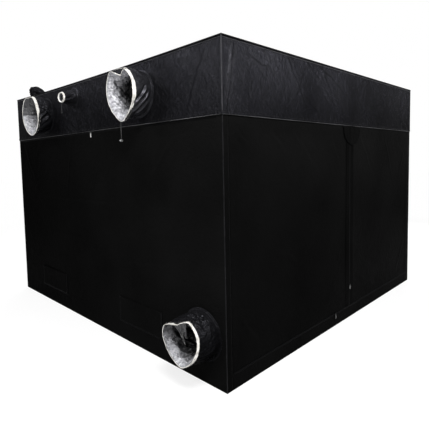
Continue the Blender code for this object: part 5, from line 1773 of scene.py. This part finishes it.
corners = [f"{y}_{x}" for y in ("front", "back") for x in ("left", "right")]
rigidFinishes = {
    steelCoat: [
        *[f"{part}_{corner}" for part in ("corner_post", "floor_corner", "top_corner") for corner in corners],
        *[f"floor_rail_{side}" for side in ("front", "back", "left", "right")],
        *[f"top_rail_{side}" for side in ("front", "back", "right")],
        *[f"hanging_bar_{number}" for number in (1, 2, 3)],
    ],
    zipPlastic: [f"{name}_slider" for name in ("door_zip", "bottom_zip", "side_zip")],
    pullMetal: ["door_zip_pull", "bottom_zip_pull"],
    brightMetal: ["side_zip_pull"],
    lockMetal: ["cord_lock_body", "cord_lock_plunger"],
}
for finish, names in rigidFinishes.items():
    for name in names:
        nodes[name].data.materials.clear()
        nodes[name].data.materials.append(finish)


# floor and light

studioLook = {
    "floor": (0.88, 0.88, 0.88), "floorWhite": (0.76, 0.995), "floorFade": (2.8, 6.5), "sky": 0.45,
    "softboxes": (  # name, place, what it points at, size and watts
        ("key_softbox", (-2.9, -3.2, 4.3), (-1.2, -1.0, 1.6), (1.4, 1.0), 230),
        ("side_sheen", (-4.2, 2.8, 3.5), (-1.45, -0.2, 1.8), (2.6, 0.5), 95),
        ("front_sheen", (2.6, -4.3, 2.9), (-0.2, -1.45, 1.8), (2.4, 0.4), 92),
        ("front_glint", (-0.9, -5.0, 2.7), (-1.0, -1.45, 1.8), (0.5, 0.4), 40),
        ("side_glint", (-5.0, -0.9, 2.7), (-1.45, -1.0, 1.8), (0.5, 0.4), 32),
        ("top_softbox", (0.8, 1.0, 5.4), (0, 0, 2.0), (2.4, 2.4), 90),
        ("front_low", (2.4, -4.5, 0.9), (-0.3, -1.45, 1.7), (0.4, 0.3), 34),
        ("back_fill", (2.2, 5.2, 1.6), (0.4, 1.45, 1.0), (2.2, 1.4), 150),
        ("right_fill", (5.2, 0.6, 1.6), (1.45, 0.2, 1.0), (2.2, 1.4), 150),
    ),
}


def makeFloor(look):
    bpy.ops.mesh.primitive_plane_add(size=60, location=(0, 0, -0.0005))
    floor = bpy.context.object
    floor.name = "studio_floor"
    material, shader = newMaterial("pale_floor", look["floor"], 0.9, specular=0.1)
    grain = noiseField(material, objectPoints(material), 3, detail=2)
    tone = colourBetween(material, grain, [0.985 * part for part in look["floor"]], look["floor"])
    join(material, tone, shader.inputs["Base Color"])
    # the camera sees the floor whiter the farther it lies, so that it has no edge
    glow = addNode(material, "ShaderNodeEmission", Color=(1, 1, 1, 1), Strength=1.0)
    paths = addNode(material, "ShaderNodeLightPath")
    far = addNode(material, "ShaderNodeVectorMath")
    far.operation = "LENGTH"
    join(material, objectPoints(material), far.inputs[0])
    white = addNode(material, "ShaderNodeMapRange")
    values = (*look["floorFade"], *look["floorWhite"])
    for name, value in zip(("From Min", "From Max", "To Min", "To Max"), values):
        white.inputs[name].default_value = value
    join(material, far.outputs["Value"], white.inputs["Value"])
    share = addNode(material, "ShaderNodeMath")
    share.operation = "MULTIPLY"
    join(material, white.outputs["Result"], share.inputs[1])
    join(material, paths.outputs["Is Camera Ray"], share.inputs[0])
    mix = addNode(material, "ShaderNodeMixShader")
    join(material, share.outputs["Value"], mix.inputs["Fac"])
    join(material, shader.outputs["BSDF"], mix.inputs[1])
    join(material, glow.outputs["Emission"], mix.inputs[2])
    join(material, mix.outputs["Shader"], material.node_tree.nodes["Material Output"].inputs["Surface"])
    floor.data.materials.append(material)


def makeWorld(look):
    # the tent is lit by a dim sky, while the camera, gloss and glass see white
    world = bpy.data.worlds.new("studio")
    scene.world = world
    world.use_nodes = True
    nodesHere, links = world.node_tree.nodes, world.node_tree.links
    shown = nodesHere.new("ShaderNodeBackground")
    shown.inputs["Color"].default_value = (1, 1, 1, 1)
    lighting = nodesHere["Background"]
    lighting.inputs["Color"].default_value = (1, 1, 1, 1)
    lighting.inputs["Strength"].default_value = look["sky"]
    paths = nodesHere.new("ShaderNodeLightPath")
    most = nodesHere.new("ShaderNodeMath")
    most.operation = "MAXIMUM"
    both = nodesHere.new("ShaderNodeMath")
    both.operation = "MAXIMUM"
    mix = nodesHere.new("ShaderNodeMixShader")
    links.new(paths.outputs["Is Camera Ray"], most.inputs[0])
    links.new(paths.outputs["Is Transmission Ray"], most.inputs[1])
    links.new(most.outputs["Value"], both.inputs[0])
    links.new(paths.outputs["Is Glossy Ray"], both.inputs[1])
    links.new(both.outputs["Value"], mix.inputs["Fac"])
    links.new(lighting.outputs["Background"], mix.inputs[1])
    links.new(shown.outputs["Background"], mix.inputs[2])
    links.new(mix.outputs["Shader"], nodesHere["World Output"].inputs["Surface"])


def makeSoftbox(name, at, aim, size, watts):
    lamp = bpy.data.lights.new(name, "AREA")
    lamp.shape = "RECTANGLE"
    lamp.size, lamp.size_y = size
    lamp.energy = watts
    holder = bpy.data.objects.new(name, lamp)
    holder.location = at
    holder.rotation_euler = (Vector(aim) - Vector(at)).to_track_quat("-Z", "Y").to_euler()
    scene.collection.objects.link(holder)


makeFloor(studioLook)
makeWorld(studioLook)
for softbox in studioLook["softboxes"]:
    makeSoftbox(*softbox)
scene.view_settings.view_transform = "Standard"
print("stage and light made")
